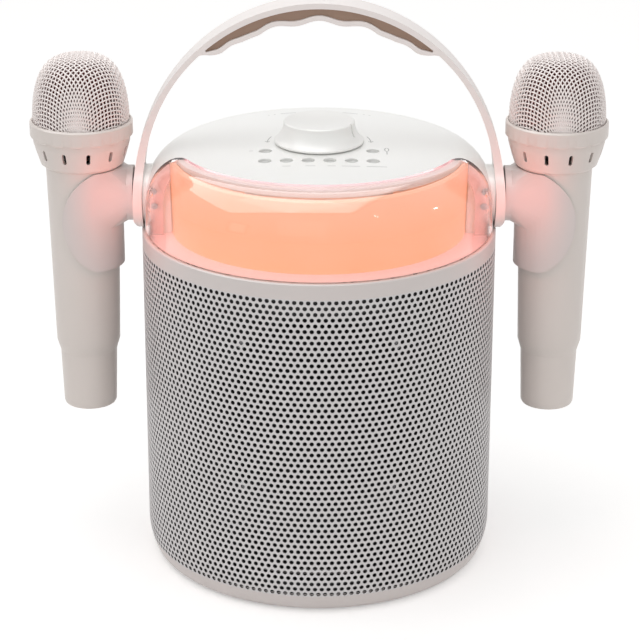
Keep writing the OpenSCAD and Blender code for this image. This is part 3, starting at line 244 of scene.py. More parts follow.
materials = {
    # Outer shells: pale and satin, with a broad soft highlight
    "white_shell": mouldedPlastic("satin white ABS", {
        "colour": "#F6F6F4", "colourTo": "#F4F4F1", "roughness": 0.34, "ior": 1.53, "grain": 0.10,
        "grainSize": 0.35, "cloudSize": 30}),
    "warm_shell": mouldedPlastic("warm grey moulded ABS", {
        "colour": "#DAD2CF", "colourTo": "#D7CFCC", "roughness": 0.42, "ior": 1.53, "grain": 0.12,
        "grainSize": 0.35, "cloudSize": 25}),
    "handle_shell": mouldedPlastic("warm white moulded ABS", {
        "colour": "#EFE8E5", "colourTo": "#EDE6E3", "roughness": 0.38, "ior": 1.53, "grain": 0.10,
        "grainSize": 0.35, "cloudSize": 25}),
    "perforated_steel": powderCoat("powder coated perforated steel", {
        "colour": "#D9D6D6", "colourTo": "#D5D2D2", "roughness": 0.45, "peelSize": 0.8, "cloudSize": 40,
        # below the skin the holes' walls get this dark colour as painted shade
        "skin": 0.25, "holeShadeColour": "#3A3634"}),
    # Light chamber: glossy and clear in front of a warm glow
    "clear_shell": clearShell("polished clear acrylic", {
        "colour": "#FFF5F4", "passColour": "#FFF4F2", "roughness": 0.05, "ior": 1.49,
        # the pink line along the upper edge is painted glow, an emission on the acrylic
        "seamBack": 7.7, "seamRadius": 64.2, "rimWidth": 0.9, "paintedRimGlow": 0.4,
        "rimFrom": capLow.z + 16 * mm, "paintedRimColour": "#E0909C"}),
    "lamp_diffuser": litDiffuser("milky polycarbonate diffuser", {
        "low": capLow.z, "high": capLow.z + 32 * mm, "lowColour": "#FFB478", "midColour": "#FFB682",
        "midPlace": 0.45, "highColour": "#FFCDB6", "bandColour": "#FFC69C", "band": 0.25, "lamps": 12.0,
        "base": "#F2B88F", "roughness": 0.35, "strength": 0.32}),
    "ledge": mouldedPlastic("white polystyrene ledge", {
        "colour": "#FFEEF0", "colourTo": "#FFEAEC", "roughness": 0.45, "ior": 1.55, "grain": 0.08,
        "grainSize": 0.4, "cloudSize": 20}),
    "lamp_parts": mouldedPlastic("clear epoxy lamp bodies", {
        "colour": "#FFD8B0", "colourTo": "#FFCFA0", "roughness": 0.2, "ior": 1.5, "grain": 0.05,
        "grainSize": 0.3, "cloudSize": 5}),
    # Inner pieces and the socket panel: dark, dull or plainly coloured
    "black_shell": mouldedPlastic("black moulded ABS", {
        "colour": "#141314", "colourTo": "#100F10", "roughness": 0.5, "ior": 1.53, "grain": 0.2,
        "grainSize": 0.5, "cloudSize": 20}),
    "magnet": mouldedPlastic("sintered ferrite", {
        "colour": "#2E2E30", "colourTo": "#262628", "roughness": 0.6, "ior": 1.6, "grain": 0.3,
        "grainSize": 0.6, "cloudSize": 8}),
    "paper_cone": mouldedPlastic("pressed paper cone", {
        "colour": "#1D1C1D", "colourTo": "#161516", "roughness": 0.85, "ior": 1.45, "grain": 0.5,
        "grainSize": 0.9, "cloudSize": 6}),
    "circuit_board": mouldedPlastic("green solder mask", {
        "colour": "#1D5A38", "colourTo": "#184F30", "roughness": 0.35, "ior": 1.5, "grain": 0.1,
        "grainSize": 0.6, "cloudSize": 10}),
    "white_board": mouldedPlastic("white solder mask", {
        "colour": "#E8E8E4", "colourTo": "#E2E2DE", "roughness": 0.35, "ior": 1.5, "grain": 0.1,
        "grainSize": 0.6, "cloudSize": 10}),
    "cell_wrap": mouldedPlastic("blue shrink wrap", {
        "colour": "#3B5C86", "colourTo": "#34527A", "roughness": 0.3, "ior": 1.5, "grain": 0.1,
        "grainSize": 1.0, "cloudSize": 15}),
    "screw_steel": bareMetal("zinc plated steel", {"colour": "#B4B4B6", "roughness": 0.35, "markSize": 0.3}),
    "foot_rubber": mouldedPlastic("moulded nitrile rubber", {
        "colour": "#2B2B2C", "colourTo": "#252526", "roughness": 0.75, "ior": 1.5, "grain": 0.3,
        "grainSize": 0.5, "cloudSize": 6}),
    # What the hand holds: matt taupe pads, satin microphones with pale wire over dark red foam
    "grip_pad": mouldedPlastic("soft touch rubber", {
        "colour": "#A58A78", "colourTo": "#9C8170", "roughness": 0.65, "ior": 1.5, "grain": 0.3,
        "grainSize": 0.45, "cloudSize": 12}),
    "mic_shell": mouldedPlastic("satin warm grey ABS", {
        "colour": "#E0D7D1", "colourTo": "#DDD4CE", "roughness": 0.36, "ior": 1.53, "grain": 0.08,
        "grainSize": 0.35, "cloudSize": 25}),
    "mic_mesh": powderCoat("coated woven wire", {
        "colour": "#FBF3F0", "colourTo": "#F6EDEA", "roughness": 0.4, "peelSize": 0.5, "cloudSize": 20}),
    "mic_foam": mouldedPlastic("open cell foam", {
        "colour": "#6E2A24", "colourTo": "#55201B", "roughness": 0.95, "ior": 1.4, "grain": 0.9,
        "grainSize": 0.7, "cloudSize": 2}),
    # Small grey controls and print that stand out from the white plate
    "button_cap": mouldedPlastic("light grey moulded ABS", {
        "colour": "#C4C4C2", "colourTo": "#C0C0BE", "roughness": 0.4, "ior": 1.53, "grain": 0.10,
        "grainSize": 0.35, "cloudSize": 8}),
    "mark_ink": mouldedPlastic("grey printed ink", {
        "colour": "#A9A9A7", "colourTo": "#B5B5B3", "roughness": 0.5, "ior": 1.5, "grain": 0.1,
        "grainSize": 0.3, "cloudSize": 1.5}),
}
print("materials:", len(materials))


# Mesh helpers

def newPiece(name, mesh, material, body, slotName, *nodes):
    mesh.name = name
    mesh.materials.clear()
    mesh.materials.append(material)
    piece = bpy.data.objects.new(name, mesh)
    bpy.context.scene.collection.objects.link(piece)
    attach(piece, body)
    if nodes:
        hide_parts(*nodes)
    return piece


def smoothCopy(node, material, slotName, sharpAngle=30):
    # A node's own surface with its curved stretches shaded as one
    source = frame["nodes"][node]
    mesh = source.data.copy()
    for name in ("custom_normal", "sharp_face", "sharp_edge"):
        if name in mesh.attributes:
            mesh.attributes.remove(mesh.attributes[name])
    shape = bmesh.new()
    shape.from_mesh(mesh)
    bmesh.ops.remove_doubles(shape, verts=shape.verts, dist=0.002 * mm)
    bmesh.ops.dissolve_degenerate(shape, edges=shape.edges, dist=0.0005 * mm)
    shape.to_mesh(mesh)
    shape.free()
    mesh.polygons.foreach_set("use_smooth", [True] * len(mesh.polygons))
    mesh.set_sharp_from_angle(angle=math.radians(sharpAngle))
    return newPiece(node + "_surface", mesh, material, source["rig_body"], slotName, node)


def newGeometryTree(name, sizes):
    tree = bpy.data.node_groups.new(name, "GeometryNodeTree")
    tree.interface.new_socket("Geometry", in_out="INPUT", socket_type="NodeSocketGeometry")
    for label, kind in sizes.items():
        tree.interface.new_socket(label, in_out="INPUT", socket_type=kind)
    tree.interface.new_socket("Geometry", in_out="OUTPUT", socket_type="NodeSocketGeometry")
    return tree, tree.nodes.new("NodeGroupInput").outputs


def runTree(tree, seedMesh, values):
    # Evaluates the tree on a mesh and returns the result as a plain mesh
    carrier = bpy.data.objects.new("carrier", seedMesh)
    bpy.context.scene.collection.objects.link(carrier)
    modifier = carrier.modifiers.new("nodes", "NODES")
    modifier.node_group = tree
    for item in tree.interface.items_tree:
        if item.in_out == "INPUT" and item.name in values:
            modifier[item.identifier] = values[item.name]
    bpy.context.view_layer.update()
    shown = carrier.evaluated_get(bpy.context.evaluated_depsgraph_get())
    mesh = bpy.data.meshes.new_from_object(shown)
    carrier.modifiers.clear()
    bpy.data.objects.remove(carrier)
    return mesh


# Perforated sheet: cells with a round hole, laid in staggered rows and bent round the axis

sheetSizes = {
    "columns": 168,        # holes round the tube
    "rows": 54,            # rows of holes from base ring to band
    "rings": 3,            # stacked rings that the sheet is made in
    "hole": 2.0,           # diameter of a hole
    "holeSides": 10,
    "thickness": 0.7,
    "panelGap": 0.2,       # gap round the socket panel
    "cutFrom": 60,         # where the panel's opening starts behind the axis
    "cutDepth": 40,
}


def perforatedCell(width, height, holeRadius, sides, thickness):
    # A flat rectangle with a round hole, front at y = 0 and back at y = thickness
    w, h = width / 2, height / 2
    outer = [(w, 0), (w, h), (0, h), (-w, h), (-w, 0), (-w, -h), (0, -h), (w, -h)]
    hole = [(holeRadius * math.cos(2 * math.pi * i / sides), holeRadius * math.sin(2 * math.pi * i / sides))
            for i in range(sides)]
    flat = [Vector((x, z, 0)) for x, z in outer + hole]
    triangles = tessellate_polygon([flat[:len(outer)], flat[len(outer):][::-1]])
    order = list(range(len(outer))) + list(range(len(outer), len(flat)))[::-1]
    count = len(flat)
    points = [(p.x, 0, p.y) for p in flat] + [(p.x, thickness, p.y) for p in flat]
    faces = []
    for t in triangles:
        a, b, c = (order[i] for i in t)
        ax, az, bx, bz, cx, cz = flat[a].x, flat[a].y, flat[b].x, flat[b].y, flat[c].x, flat[c].y
        turned = (bx - ax) * (cz - az) - (bz - az) * (cx - ax) < 0
        a, b, c = (a, c, b) if turned else (a, b, c)
        faces.append((a, b, c))
        faces.append((c + count, b + count, a + count))
    for i in range(sides):
        a, b = len(outer) + i, len(outer) + (i + 1) % sides
        faces.append((b, a, a + count, b + count))
    mesh = bpy.data.meshes.new("cell")
    mesh.from_pydata(points, [], faces)
    return mesh


def perforatedTree():
    tree, given = newGeometryTree("perforated sheet", {
        "Columns": "NodeSocketInt", "Rows": "NodeSocketInt", "Parity": "NodeSocketInt",
        "Pitch": "NodeSocketFloat", "Row Height": "NodeSocketFloat", "Start": "NodeSocketFloat",
        "Radius": "NodeSocketFloat", "Foot Top": "NodeSocketFloat", "Foot Arc": "NodeSocketFloat",
        "Material": "NodeSocketMaterial"})

    def calc(operation, a, b=0.0):
        return addNode(tree, "ShaderNodeMath", {0: a, 1: b}, operation=operation).outputs[0]

    index = addNode(tree, "GeometryNodeInputIndex").outputs[0]
    column = calc("MODULO", index, given["Columns"])
    row = calc("FLOOR", calc("DIVIDE", index, given["Columns"]))
    odd = calc("MODULO", calc("ADD", row, given["Parity"]), 2.0)
    across = calc("MULTIPLY", calc("ADD", column, calc("MULTIPLY", odd, 0.5)), given["Pitch"])
    up = calc("ADD", given["Start"], calc("MULTIPLY", calc("ADD", row, 0.5), given["Row Height"]))
    spot = addNode(tree, "ShaderNodeCombineXYZ", {0: across, 2: up})
    points = addNode(tree, "GeometryNodePoints", {"Count": calc("MULTIPLY", given["Columns"], given["Rows"]),
                     "Position": spot.outputs[0]})
    cells = addNode(tree, "GeometryNodeInstanceOnPoints", {"Points": points.outputs[0],
                    "Instance": given["Geometry"]})
    real = addNode(tree, "GeometryNodeRealizeInstances", {0: cells.outputs[0]})
    place = addNode(tree, "GeometryNodeInputPosition").outputs[0]
    axes = addNode(tree, "ShaderNodeSeparateXYZ", {0: place}).outputs
    length = calc("MULTIPLY", given["Pitch"], given["Columns"])
    turn = calc("MULTIPLY", calc("DIVIDE", axes["X"], length), 2 * math.pi)
    below = calc("MAXIMUM", calc("SUBTRACT", given["Foot Top"], axes["Z"]), 0.0)
    arc = given["Foot Arc"]
    sink = calc("SUBTRACT", arc, calc("SQRT", calc("SUBTRACT", calc("MULTIPLY", arc, arc),
                calc("MULTIPLY", below, below))))
    radius = calc("SUBTRACT", calc("SUBTRACT", given["Radius"], sink), axes["Y"])
    bent = addNode(tree, "ShaderNodeCombineXYZ", {0: calc("MULTIPLY", radius, calc("SINE", turn)),
                   1: calc("MULTIPLY", calc("MULTIPLY", radius, calc("COSINE", turn)), -1.0), 2: axes["Z"]})
    rolled = addNode(tree, "GeometryNodeSetPosition", {"Geometry": real.outputs[0],
                     "Position": bent.outputs[0]})
    welded = addNode(tree, "GeometryNodeMergeByDistance", {"Geometry": rolled.outputs[0],
                     "Distance": 0.01 * mm})
    coated = addNode(tree, "GeometryNodeSetMaterial", {"Geometry": welded.outputs[0],
                     "Material": given["Material"]})
    addNode(tree, "NodeGroupOutput", {0: coated.outputs[0]})
    return tree


def perforatedSheet():
    v = sheetSizes
    tree = perforatedTree()
    low, high = tubeLow.z, tubeHigh.z
    radius = tubeHigh.x
    pitch = 2 * math.pi * radius / v["columns"]
    rowHeight = (high - low) / v["rows"]
    perRing = v["rows"] // v["rings"]
    cell = perforatedCell(pitch, rowHeight, v["hole"] / 2 * mm, v["holeSides"], v["thickness"] * mm)
    panelLow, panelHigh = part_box("port_panel")
    for ring in range(v["rings"]):
        start = low + ring * perRing * rowHeight
        mesh = runTree(tree, cell.copy(), {
            "Columns": v["columns"], "Rows": perRing, "Parity": ring * perRing % 2, "Pitch": pitch,
            "Row Height": rowHeight, "Start": start, "Radius": radius, "Foot Top": footTop * mm,
            "Foot Arc": footArc * mm, "Material": materials["perforated_steel"]})
        shape = bmesh.new()
        shape.from_mesh(mesh)
        for edge in (start, start + perRing * rowHeight):
            rim = [e for e in shape.edges if e.is_boundary and abs(e.verts[0].co.z - edge) < 0.1 * mm]
            bmesh.ops.bridge_loops(shape, edges=rim)
        bmesh.ops.recalc_face_normals(shape, faces=shape.faces)
        shape.to_mesh(mesh)
        shape.free()
        piece = newPiece("perforated_ring_" + str(ring + 1), mesh, materials["perforated_steel"], "root",
                         "perforated_steel", "grille_tube")
        if start < panelLow.z:
            cutPanelOpening(piece, panelLow, panelHigh)
        piece.data.polygons.foreach_set("use_smooth", [True] * len(piece.data.polygons))
        piece.data.set_sharp_from_angle(angle=math.radians(30))
        print("perforated ring", ring + 1, len(piece.data.polygons), "faces")


def cutPanelOpening(piece, low, high):
    v = sheetSizes
    gap = v["panelGap"] * mm
    block = bpy.data.meshes.new("block")
    shape = bmesh.new()
    bmesh.ops.create_cube(shape, size=1.0)
    for vert in shape.verts:
        vert.co = Vector((vert.co.x * (high.x - low.x + 2 * gap),
                          v["cutDepth"] * mm * (vert.co.y + 0.5) + v["cutFrom"] * mm,
                          (low.z + high.z) / 2 + vert.co.z * (high.z - low.z + 2 * gap)))
    shape.to_mesh(block)
    shape.free()
    cutter = bpy.data.objects.new("cutter", block)
    bpy.context.scene.collection.objects.link(cutter)
    cut = piece.modifiers.new("opening", "BOOLEAN")
    cut.operation = "DIFFERENCE"
    cut.solver = "MANIFOLD"
    cut.object = cutter
    bpy.context.view_layer.update()
    mesh = bpy.data.meshes.new_from_object(piece.evaluated_get(bpy.context.evaluated_depsgraph_get()))
    piece.modifiers.clear()
    piece.data = mesh
    bpy.data.objects.remove(cutter)


perforatedSheet()


# Microphone heads: a square weave pulled down over the dome, so that its cells shear as they go

headSizes = {
    "pitch": 1.8,          # distance between wires
    "wire": 0.72,          # diameter of a wire
    "wireSides": 6,
    "sink": 0.7,           # depth of the wires' middle below the head's outside
    "turn": 45,            # direction of the wires, degrees from the side
    "dome": 2.2,           # fullness of the dome's outline
    "shoulder": 0.28,
    "weave": 0.42,         # how far a wire rises over or sinks under another, in wires
    "crownFrom": 0.3,      # share of the head's height above which wires also rise upwards
    "crownLift": 1.3,
}


def domeTable(radius, height, sink):
    # Outline of the dome: distance along it from the pole, radius and height
    v = headSizes
    steps = 600
    rows = []
    for i in range(steps + 1):
        u = 1 - (i / steps) ** 2
        rows.append(((radius - sink) * max(0, 1 - u ** v["dome"]) ** v["shoulder"], (height - sink) * u))
    run = [0.0]
    for (r0, z0), (r1, z1) in zip(rows, rows[1:]):
        run.append(run[-1] + math.hypot(r1 - r0, z1 - z0))
    return np.array(run), np.array([r for r, _ in rows]), np.array([z for _, z in rows])


def wovenNet(table, pitch):
    # A quarter of a net whose cells all have sides of one pitch, on the dome
    run, radii, heights = table

    def place(s, turn):
        r = np.interp(s, run, radii)
        return np.array([r * math.cos(turn), r * math.sin(turn), np.interp(s, run, heights)])

    count = int(run[-1] / pitch) + 1
    net = {}
    for i in range(count + 1):
        s = min(i * pitch, run[-1])
        net[i, 0] = (s, 0.0)
        net[0, i] = (s, math.pi / 2)
    for i in range(1, count + 1):
        for j in range(1, i + 1):
            if (i - 1, j) not in net or (i, j - 1) not in net:
                continue
            if net[i - 1, j][0] >= run[-1] and net[i, j - 1][0] >= run[-1]:
                continue
            a, b = place(*net[i - 1, j]), place(*net[i, j - 1])
            s = max(net[i - 1, j][0], net[i, j - 1][0]) + 0.5 * pitch
            turn = (net[i - 1, j][1] + net[i, j - 1][1]) / 2 if i != j else math.pi / 4
            for _ in range(12):
                here = place(s, turn)
                sides = np.array([np.linalg.norm(here - p) for p in (a, b)])
                miss = sides - pitch
                ds, dt = 1e-5, 1e-4
                along, aside = place(s + ds, turn), place(s, turn + dt)
                slope = np.array([
                    [(np.linalg.norm(along - p) - side) / ds, (np.linalg.norm(aside - p) - side) / dt]
                    for p, side in zip((a, b), sides)])
                step = np.linalg.lstsq(slope, miss, rcond=None)[0]
                s, turn = s - float(step[0]), turn - float(step[1])
                if np.abs(miss).max() < 1e-7:
                    break
            net[i, j] = (s, turn)
            net[j, i] = (s, math.pi / 2 - turn)
    return net, place, run[-1]


def wireTree():
    tree, given = newGeometryTree("woven wire", {
        "Wire Radius": "NodeSocketFloat", "Sides": "NodeSocketInt", "Material": "NodeSocketMaterial"})
    lines = addNode(tree, "GeometryNodeMeshToCurve", {0: given["Geometry"]})
    ring = addNode(tree, "GeometryNodeCurvePrimitiveCircle", {"Resolution": given["Sides"],
                   "Radius": given["Wire Radius"]})
    wires = addNode(tree, "GeometryNodeCurveToMesh", {"Curve": lines.outputs[0],
                    "Profile Curve": ring.outputs[0]})
    real = addNode(tree, "GeometryNodeRealizeInstances", {0: wires.outputs[0]})
    coated = addNode(tree, "GeometryNodeSetMaterial", {"Geometry": real.outputs[0],
                     "Material": given["Material"]})
    addNode(tree, "NodeGroupOutput", {0: coated.outputs[0]})
    return tree


def wireLines(centre, low, radius, height):
    # Every wire of the head as a chain of edges that weaves over and under its neighbours
    v = headSizes
    pitch = v["pitch"] * mm
    net, place, reach = wovenNet(domeTable(radius, height, v["sink"] * mm), pitch)
    count = max(i for i, _ in net)
    points, edges = [], []

    def crossing(i, j, family):
        # The point where wire i crosses wire j, raised or sunk by half a wire
        key = (abs(i), abs(j))
        if key not in net or net[key][0] > reach + pitch:
            return None
        s, turn = net[key]
        turn = turn if j >= 0 else -turn
        turn = turn if i >= 0 else math.pi - turn
        here = place(min(s, reach), turn)
        lift = (1 if (i + j) % 2 else -1) * (1 if family else -1) * v["wire"] * v["weave"] * mm
        crown = max(here[2] - v["crownFrom"] * height, 0) * v["crownLift"]
        outward = np.array([here[0], here[1], crown])
        if np.linalg.norm(outward) < 1e-9:
            outward = np.array([0, 0, 1.0])
        here = here + outward / np.linalg.norm(outward) * lift
        spin = math.radians(v["turn"])
        x = here[0] * math.cos(spin) - here[1] * math.sin(spin)
        y = here[0] * math.sin(spin) + here[1] * math.cos(spin)
        return (centre.x + x, centre.y + y, low + here[2]), s >= reach

    for family in (True, False):
        for i in range(-count, count + 1):
            last = None
            for j in range(-count, count + 1):
                found = crossing(i, j, True) if family else crossing(j, i, False)
                if found is None:
                    last = None
                    continue
                point, ended = found
                points.append(point)
                if last is not None and not (ended and lastEnded):
                    edges.append((last, len(points) - 1))
                last, lastEnded = len(points) - 1, ended
    mesh = bpy.data.meshes.new("wires")
    mesh.from_pydata(points, edges, [])
    return mesh


def microphoneHeads():
    tree = wireTree()
    for side in ("left", "right"):
        low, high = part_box("mic_" + side + "_mesh")
        centre = Vector(((low.x + high.x) / 2, (low.y + high.y) / 2, 0))
        lines = wireLines(centre, low.z, (high.x - low.x) / 2, high.z - low.z)
        mesh = runTree(tree, lines, {
            "Wire Radius": headSizes["wire"] / 2 * mm, "Sides": headSizes["wireSides"],
            "Material": materials["mic_mesh"]})
        mesh.polygons.foreach_set("use_smooth", [True] * len(mesh.polygons))
        newPiece("mic_" + side + "_woven_head", mesh, materials["mic_mesh"], "microphone_" + side,
                 "mic_mesh", "mic_" + side + "_mesh")
        print("woven head", side, len(mesh.polygons), "faces")


microphoneHeads()


# Carried-over nodes: smooth copies where a curved surface shows, new finishes on the rest

smoothNodes = {
    "top_cap": "white_shell", "clear_window": "clear_shell", "knob": "white_shell",
    "grille_band": "warm_shell", "base_tray": "warm_shell", "handle_arch": "handle_shell",
    "grip_pads": "grip_pad", "clip_left": "warm_shell", "clip_right": "warm_shell",
    "lamp_drum": "lamp_diffuser",
    "chamber_floor": "ledge", "port_panel": "black_shell",
}
for i in range(1, 7):
    smoothNodes["button_row_" + str(i)] = "button_cap"
smoothNodes["button_left"] = smoothNodes["button_right"] = "button_cap"
for side in ("left", "right"):
    for part in ("tail", "barrel", "cup", "collar"):
        smoothNodes["mic_" + side + "_" + part] = "mic_shell"

slotOf = {row["node"]: row["material_slot"] for row in frame["record"]["subparts"]}
for node, finish in smoothNodes.items():
    smoothCopy(node, materials[finish], slotOf[node])
finishOf = dict(slotOf, woofer_cone="paper_cone", control_board="white_board")
for node, thing in frame["nodes"].items():
    if node not in smoothNodes and not thing.hide_render:
        thing.data.materials.clear()
        thing.data.materials.append(materials[finishOf[node]])
print("nodes dressed:", len(frame["nodes"]))


# Printed marks on the top plate, flat on its crown

markSizes = {
    "lift": 0.04,          # height above the plate
    "stroke": 0.42,        # width of a line
    "dashY": -33.6,        # line of dashes in front of the buttons
    "dashes": ((-16.0, -12.4), (-6.0, -1.6), (3.7, 7.2), (9.9, 17.9), (20.7, 29.6)),
    "turnRadius": 23.2,    # arrows beside the knob that show the ways it turns
    "turnFrom": 112,       # degrees from the front
    "turnTo": 90,
    "barbLength": 1.08,    # barbs of the arrows' heads
    "barbTurn": 4,
    "rearRadius": 52.8,    # short scale behind the knob
    "rearFrom": 160,
    "rearTo": 168,
    "dotTurn": 3.2,        # degrees between the scale's dots
    "tick": (-31.0, -29.3, -12.2),        # left and right end, and place from front to rear
    "ring": (30.0, -10.2, 0.9, 2.4),      # middle, half width and half depth
    "stem": (30.0, -13.0, -16.8),         # place across, rear and front end
}


def printedMarks():
    v = markSizes
    cap = frame["nodes"]["top_cap"].data
    plate = BVHTree.FromPolygons([p.co for p in cap.vertices], [list(f.vertices) for f in cap.polygons])
    points, faces = [], []

    def stroke(line):
        # A strip of ink along a line of points
        half = v["stroke"] / 2
        for i, (x, y) in enumerate(line):
            (ax, ay), (bx, by) = line[max(i - 1, 0)], line[min(i + 1, len(line) - 1)]
            run = math.hypot(bx - ax, by - ay)
            nx, ny = (ay - by) / run * half, (bx - ax) / run * half
            for side in (1, -1):
                above = Vector(((x + side * nx) * mm, (y + side * ny) * mm, 1))
                top = plate.ray_cast(above, Vector((0, 0, -1)))[0]
                points.append((top.x, top.y, top.z + v["lift"] * mm))
            if i:
                k = len(points)
                faces.append((k - 4, k - 3, k - 1, k - 2))

    def spot(radius, turn):
        return radius * math.sin(math.radians(turn)), -radius * math.cos(math.radians(turn))

    for start, end in v["dashes"]:
        stroke([(start + (end - start) * i / 6, v["dashY"]) for i in range(7)])
    for side in (-1, 1):
        r, a, b = v["turnRadius"], v["turnFrom"], v["turnTo"]
        stroke([spot(r, side * (a + (b - a) * i / 10)) for i in range(11)])
        tip = spot(r, side * b)
        for reach in (-v["barbLength"], v["barbLength"]):
            stroke([tip, spot(r + reach, side * (b + v["barbTurn"]))])
        r, a, b = v["rearRadius"], v["rearFrom"], v["rearTo"]
        stroke([spot(r, side * (a + (b - a) * i / 6)) for i in range(7)])
        for i in (1, 2):
            x, y = spot(r, side * (a - i * v["dotTurn"]))
            stroke([(x - v["stroke"], y), (x + v["stroke"], y)])
    left, right, y = v["tick"]
    stroke([(left, y), (right, y)])
    x, y, halfWidth, halfDepth = v["ring"]
    turns = [i * math.pi / 6 for i in range(13)]
    stroke([(x + halfWidth * math.sin(t), y + halfDepth * math.cos(t)) for t in turns])
    x, rear, front = v["stem"]
    stroke([(x, rear), (x, front)])
    mesh = bpy.data.meshes.new("marks")
    mesh.from_pydata(points, [], faces)
    newPiece("top_plate_marks", mesh, materials["mark_ink"], "root", "white_shell")
    print("printed marks:", len(faces), "faces")


printedMarks()


# Stage, light and camera

stageValues = {
    "floorColour": "#F7F6F5",
    "floorReach": 6,
    "skyLight": 0.68,       # even light from all round
    "floorLift": 0.32,      # light added to the floor where the eye looks at it
    "topPower": 2.6,        # watts of the softbox overhead
    "topSize": 0.7,
    "topPlace": (-0.2, -0.12, 1.2),
    "topAim": (0, 0, 0.2),
    "frontPower": 1.3,
    "frontSize": 0.9,
    "frontPlace": (-0.3, -1.5, 0.9),
    "frontAim": (0, 0, 0.12),
    "glowPower": 0.011,     # spill of the lit chamber's sides on clips, arms and microphones
    "glowColour": "#FF7365",
    "glowPlaces": ((-88, -34, 176), (88, -34, 176)),
    "glowSize": 12,
}

cards = {
    # White cards that only reflections see, in metres: place, what it faces, width, depth,
    # strength and soft edge
    "card overhead": ((-0.58, 0.2, 1.2), (-0.58, 0.2, 0), 2.06, 1.96, 4.6, 0.06),
    "card front left": ((-1.33, -1.0, 0.52), (0, 0, 0.18), 0.42, 0.5, 1.6, 0.2),
    "card spark": ((0.865, -0.943, 1.2), (0, 0, 0.18), 0.07, 0.06, 30.0, 0.3),
    "card spark side": ((1.154, -0.105, 0.652), (0, 0, 0.18), 0.09, 0.07, 30.0, 0.3),
}


def lookRays(tree):
    # 1 for rays that look at the background, directly, in a reflection or through glass
    path = addNode(tree, "ShaderNodeLightPath")
    first = addNode(tree, "ShaderNodeMath", {0: path.outputs["Is Camera Ray"],
                    1: path.outputs["Is Glossy Ray"]}, operation="MAXIMUM")
    return addNode(tree, "ShaderNodeMath", {0: first.outputs[0], 1: path.outputs["Is Transmission Ray"]},
                   operation="MAXIMUM").outputs[0]


def makeStage():
    v = stageValues
    world = bpy.data.worlds.new("studio")
    bpy.context.scene.world = world
    world.use_nodes = True
    tree = world.node_tree
    tree.nodes.clear()
    level = addNode(tree, "ShaderNodeMapRange", {"Value": lookRays(tree), "To Min": v["skyLight"],
                    "To Max": 1.0})
    sky = addNode(tree, "ShaderNodeBackground", {"Color": (1, 1, 1, 1), "Strength": level.outputs["Result"]})
    addNode(tree, "ShaderNodeOutputWorld", {"Surface": sky.outputs[0]})

    material, tree = startMaterial("white sweep")
    diffuse = addNode(tree, "ShaderNodeBsdfDiffuse", {"Color": hexColour(v["floorColour"])})
    raised = addNode(tree, "ShaderNodeMath", {0: lookRays(tree), 1: v["floorLift"]}, operation="MULTIPLY")
    lift = addNode(tree, "ShaderNodeEmission", {"Color": (1, 1, 1, 1), "Strength": raised.outputs[0]})
    both = addNode(tree, "ShaderNodeAddShader", {0: diffuse.outputs[0], 1: lift.outputs[0]})
    finishMaterial(tree, both.outputs[0])
    floor = bpy.data.meshes.new("floor")
    far = v["floorReach"]
    floor.from_pydata([(-far, -far, 0), (far, -far, 0), (far, far, 0), (-far, far, 0)], [], [(0, 1, 2, 3)])
    floor.materials.append(material)
    floorPiece = bpy.data.objects.new("floor", floor)
    bpy.context.scene.collection.objects.link(floorPiece)

    for name, power, size, place, aim in (
            ("softbox overhead", v["topPower"], v["topSize"], v["topPlace"], v["topAim"]),
            ("softbox front", v["frontPower"], v["frontSize"], v["frontPlace"], v["frontAim"])):
        lamp = bpy.data.lights.new(name, "AREA")
        lamp.energy = power
        lamp.size = size
        thing = bpy.data.objects.new(name, lamp)
        thing.location = place
        thing.rotation_mode = "QUATERNION"
        thing.rotation_quaternion = (Vector(aim) - Vector(place)).to_track_quat("-Z", "Y")
        thing.visible_camera = thing.visible_glossy = False
        bpy.context.scene.collection.objects.link(thing)
    for place in v["glowPlaces"]:
        lamp = bpy.data.lights.new("chamber glow", "POINT")
        lamp.energy = v["glowPower"]
        lamp.color = hexColour(v["glowColour"])[:3]
        lamp.shadow_soft_size = v["glowSize"] * mm
        thing = bpy.data.objects.new("chamber glow", lamp)
        thing.location = Vector(place) * mm
        thing.visible_camera = thing.visible_glossy = thing.visible_transmission = False
        bpy.context.scene.collection.objects.link(thing)


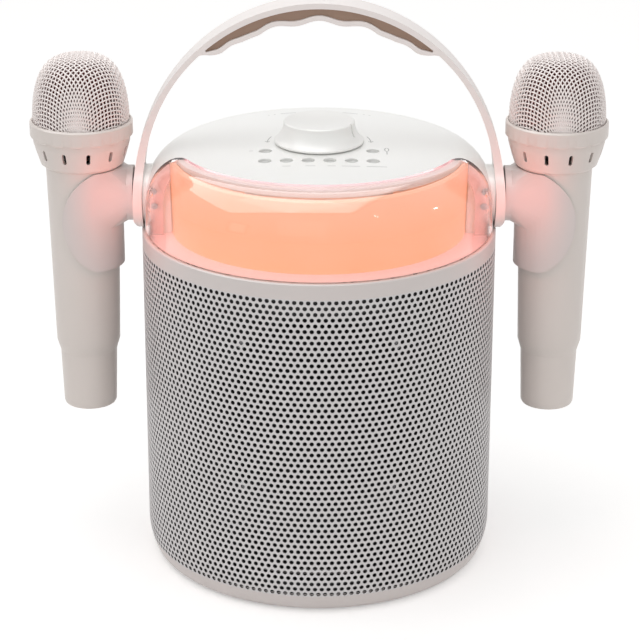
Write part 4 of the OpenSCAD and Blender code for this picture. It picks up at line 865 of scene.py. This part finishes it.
def makeCard(name, place, aim, width, depth, strength, softEdge):
    turn = (Vector(aim) - Vector(place)).to_track_quat("-Z", "Y")
    corners = [(-1, -1), (1, -1), (1, 1), (-1, 1)]
    card = bpy.data.meshes.new(name)
    points = [turn @ Vector((x * width / 2, y * depth / 2, 0)) + Vector(place) for x, y in corners]
    card.from_pydata(points, [], [(0, 1, 2, 3)])
    layer = card.uv_layers.new(name="UVMap")
    for corner, (x, y) in zip(layer.data, corners):
        corner.uv = (x, y)
    material, tree = startMaterial(name)
    spread = addNode(tree, "ShaderNodeTexCoord").outputs["UV"]
    axes = addNode(tree, "ShaderNodeSeparateXYZ", {0: spread}).outputs
    level = strength
    for axis in ("X", "Y"):
        off = addNode(tree, "ShaderNodeMath", {0: axes[axis]}, operation="ABSOLUTE").outputs[0]
        fade = addNode(tree, "ShaderNodeMapRange", {"Value": off, "From Min": 1.0,
                       "From Max": 1.0 - 2 * softEdge}, interpolation_type="SMOOTHSTEP").outputs["Result"]
        level = addNode(tree, "ShaderNodeMath", {0: level, 1: fade}, operation="MULTIPLY").outputs[0]
    shine = addNode(tree, "ShaderNodeEmission", {"Color": (1, 1, 1, 1), "Strength": level})
    finishMaterial(tree, shine.outputs[0])
    card.materials.append(material)
    piece = bpy.data.objects.new(name, card)
    bpy.context.scene.collection.objects.link(piece)
    piece.visible_camera = piece.visible_diffuse = False
    piece.visible_shadow = piece.visible_transmission = False


cameraValues = {
    "place": (0.52, -1035.2, 512.8),   # mm
    "pitch": 21.2545,                  # degrees below the horizon
    "roll": 0.09,
    "focus": 2412.06,                  # pixels, on a picture of this width
    "width": 640,
    "sensor": 36,                      # mm
    "clip": (0.05, 30),                # nearest and furthest that it sees, metres
}


def makeCamera():
    v = cameraValues
    pitch, roll = math.radians(v["pitch"]), math.radians(v["roll"])
    forward = Vector((0, math.cos(pitch), -math.sin(pitch)))
    up = Vector((0, math.sin(pitch), math.cos(pitch)))
    right = Vector((1, 0, 0))
    right, up = right * math.cos(roll) + up * math.sin(roll), up * math.cos(roll) - right * math.sin(roll)
    data = bpy.data.cameras.new("camera")
    data.sensor_width = v["sensor"]
    data.lens = v["focus"] / v["width"] * v["sensor"]
    data.clip_start, data.clip_end = v["clip"]
    camera = bpy.data.objects.new("camera", data)
    bpy.context.scene.collection.objects.link(camera)
    turn = Matrix((right, up, -forward)).transposed().to_4x4()
    camera.matrix_world = Matrix.Translation(Vector(v["place"]) * mm) @ turn
    bpy.context.scene.camera = camera


makeStage()
for name, values in cards.items():
    makeCard(name, *values)
makeCamera()
bpy.context.scene.view_settings.view_transform = "Standard"
print("stage: ready")
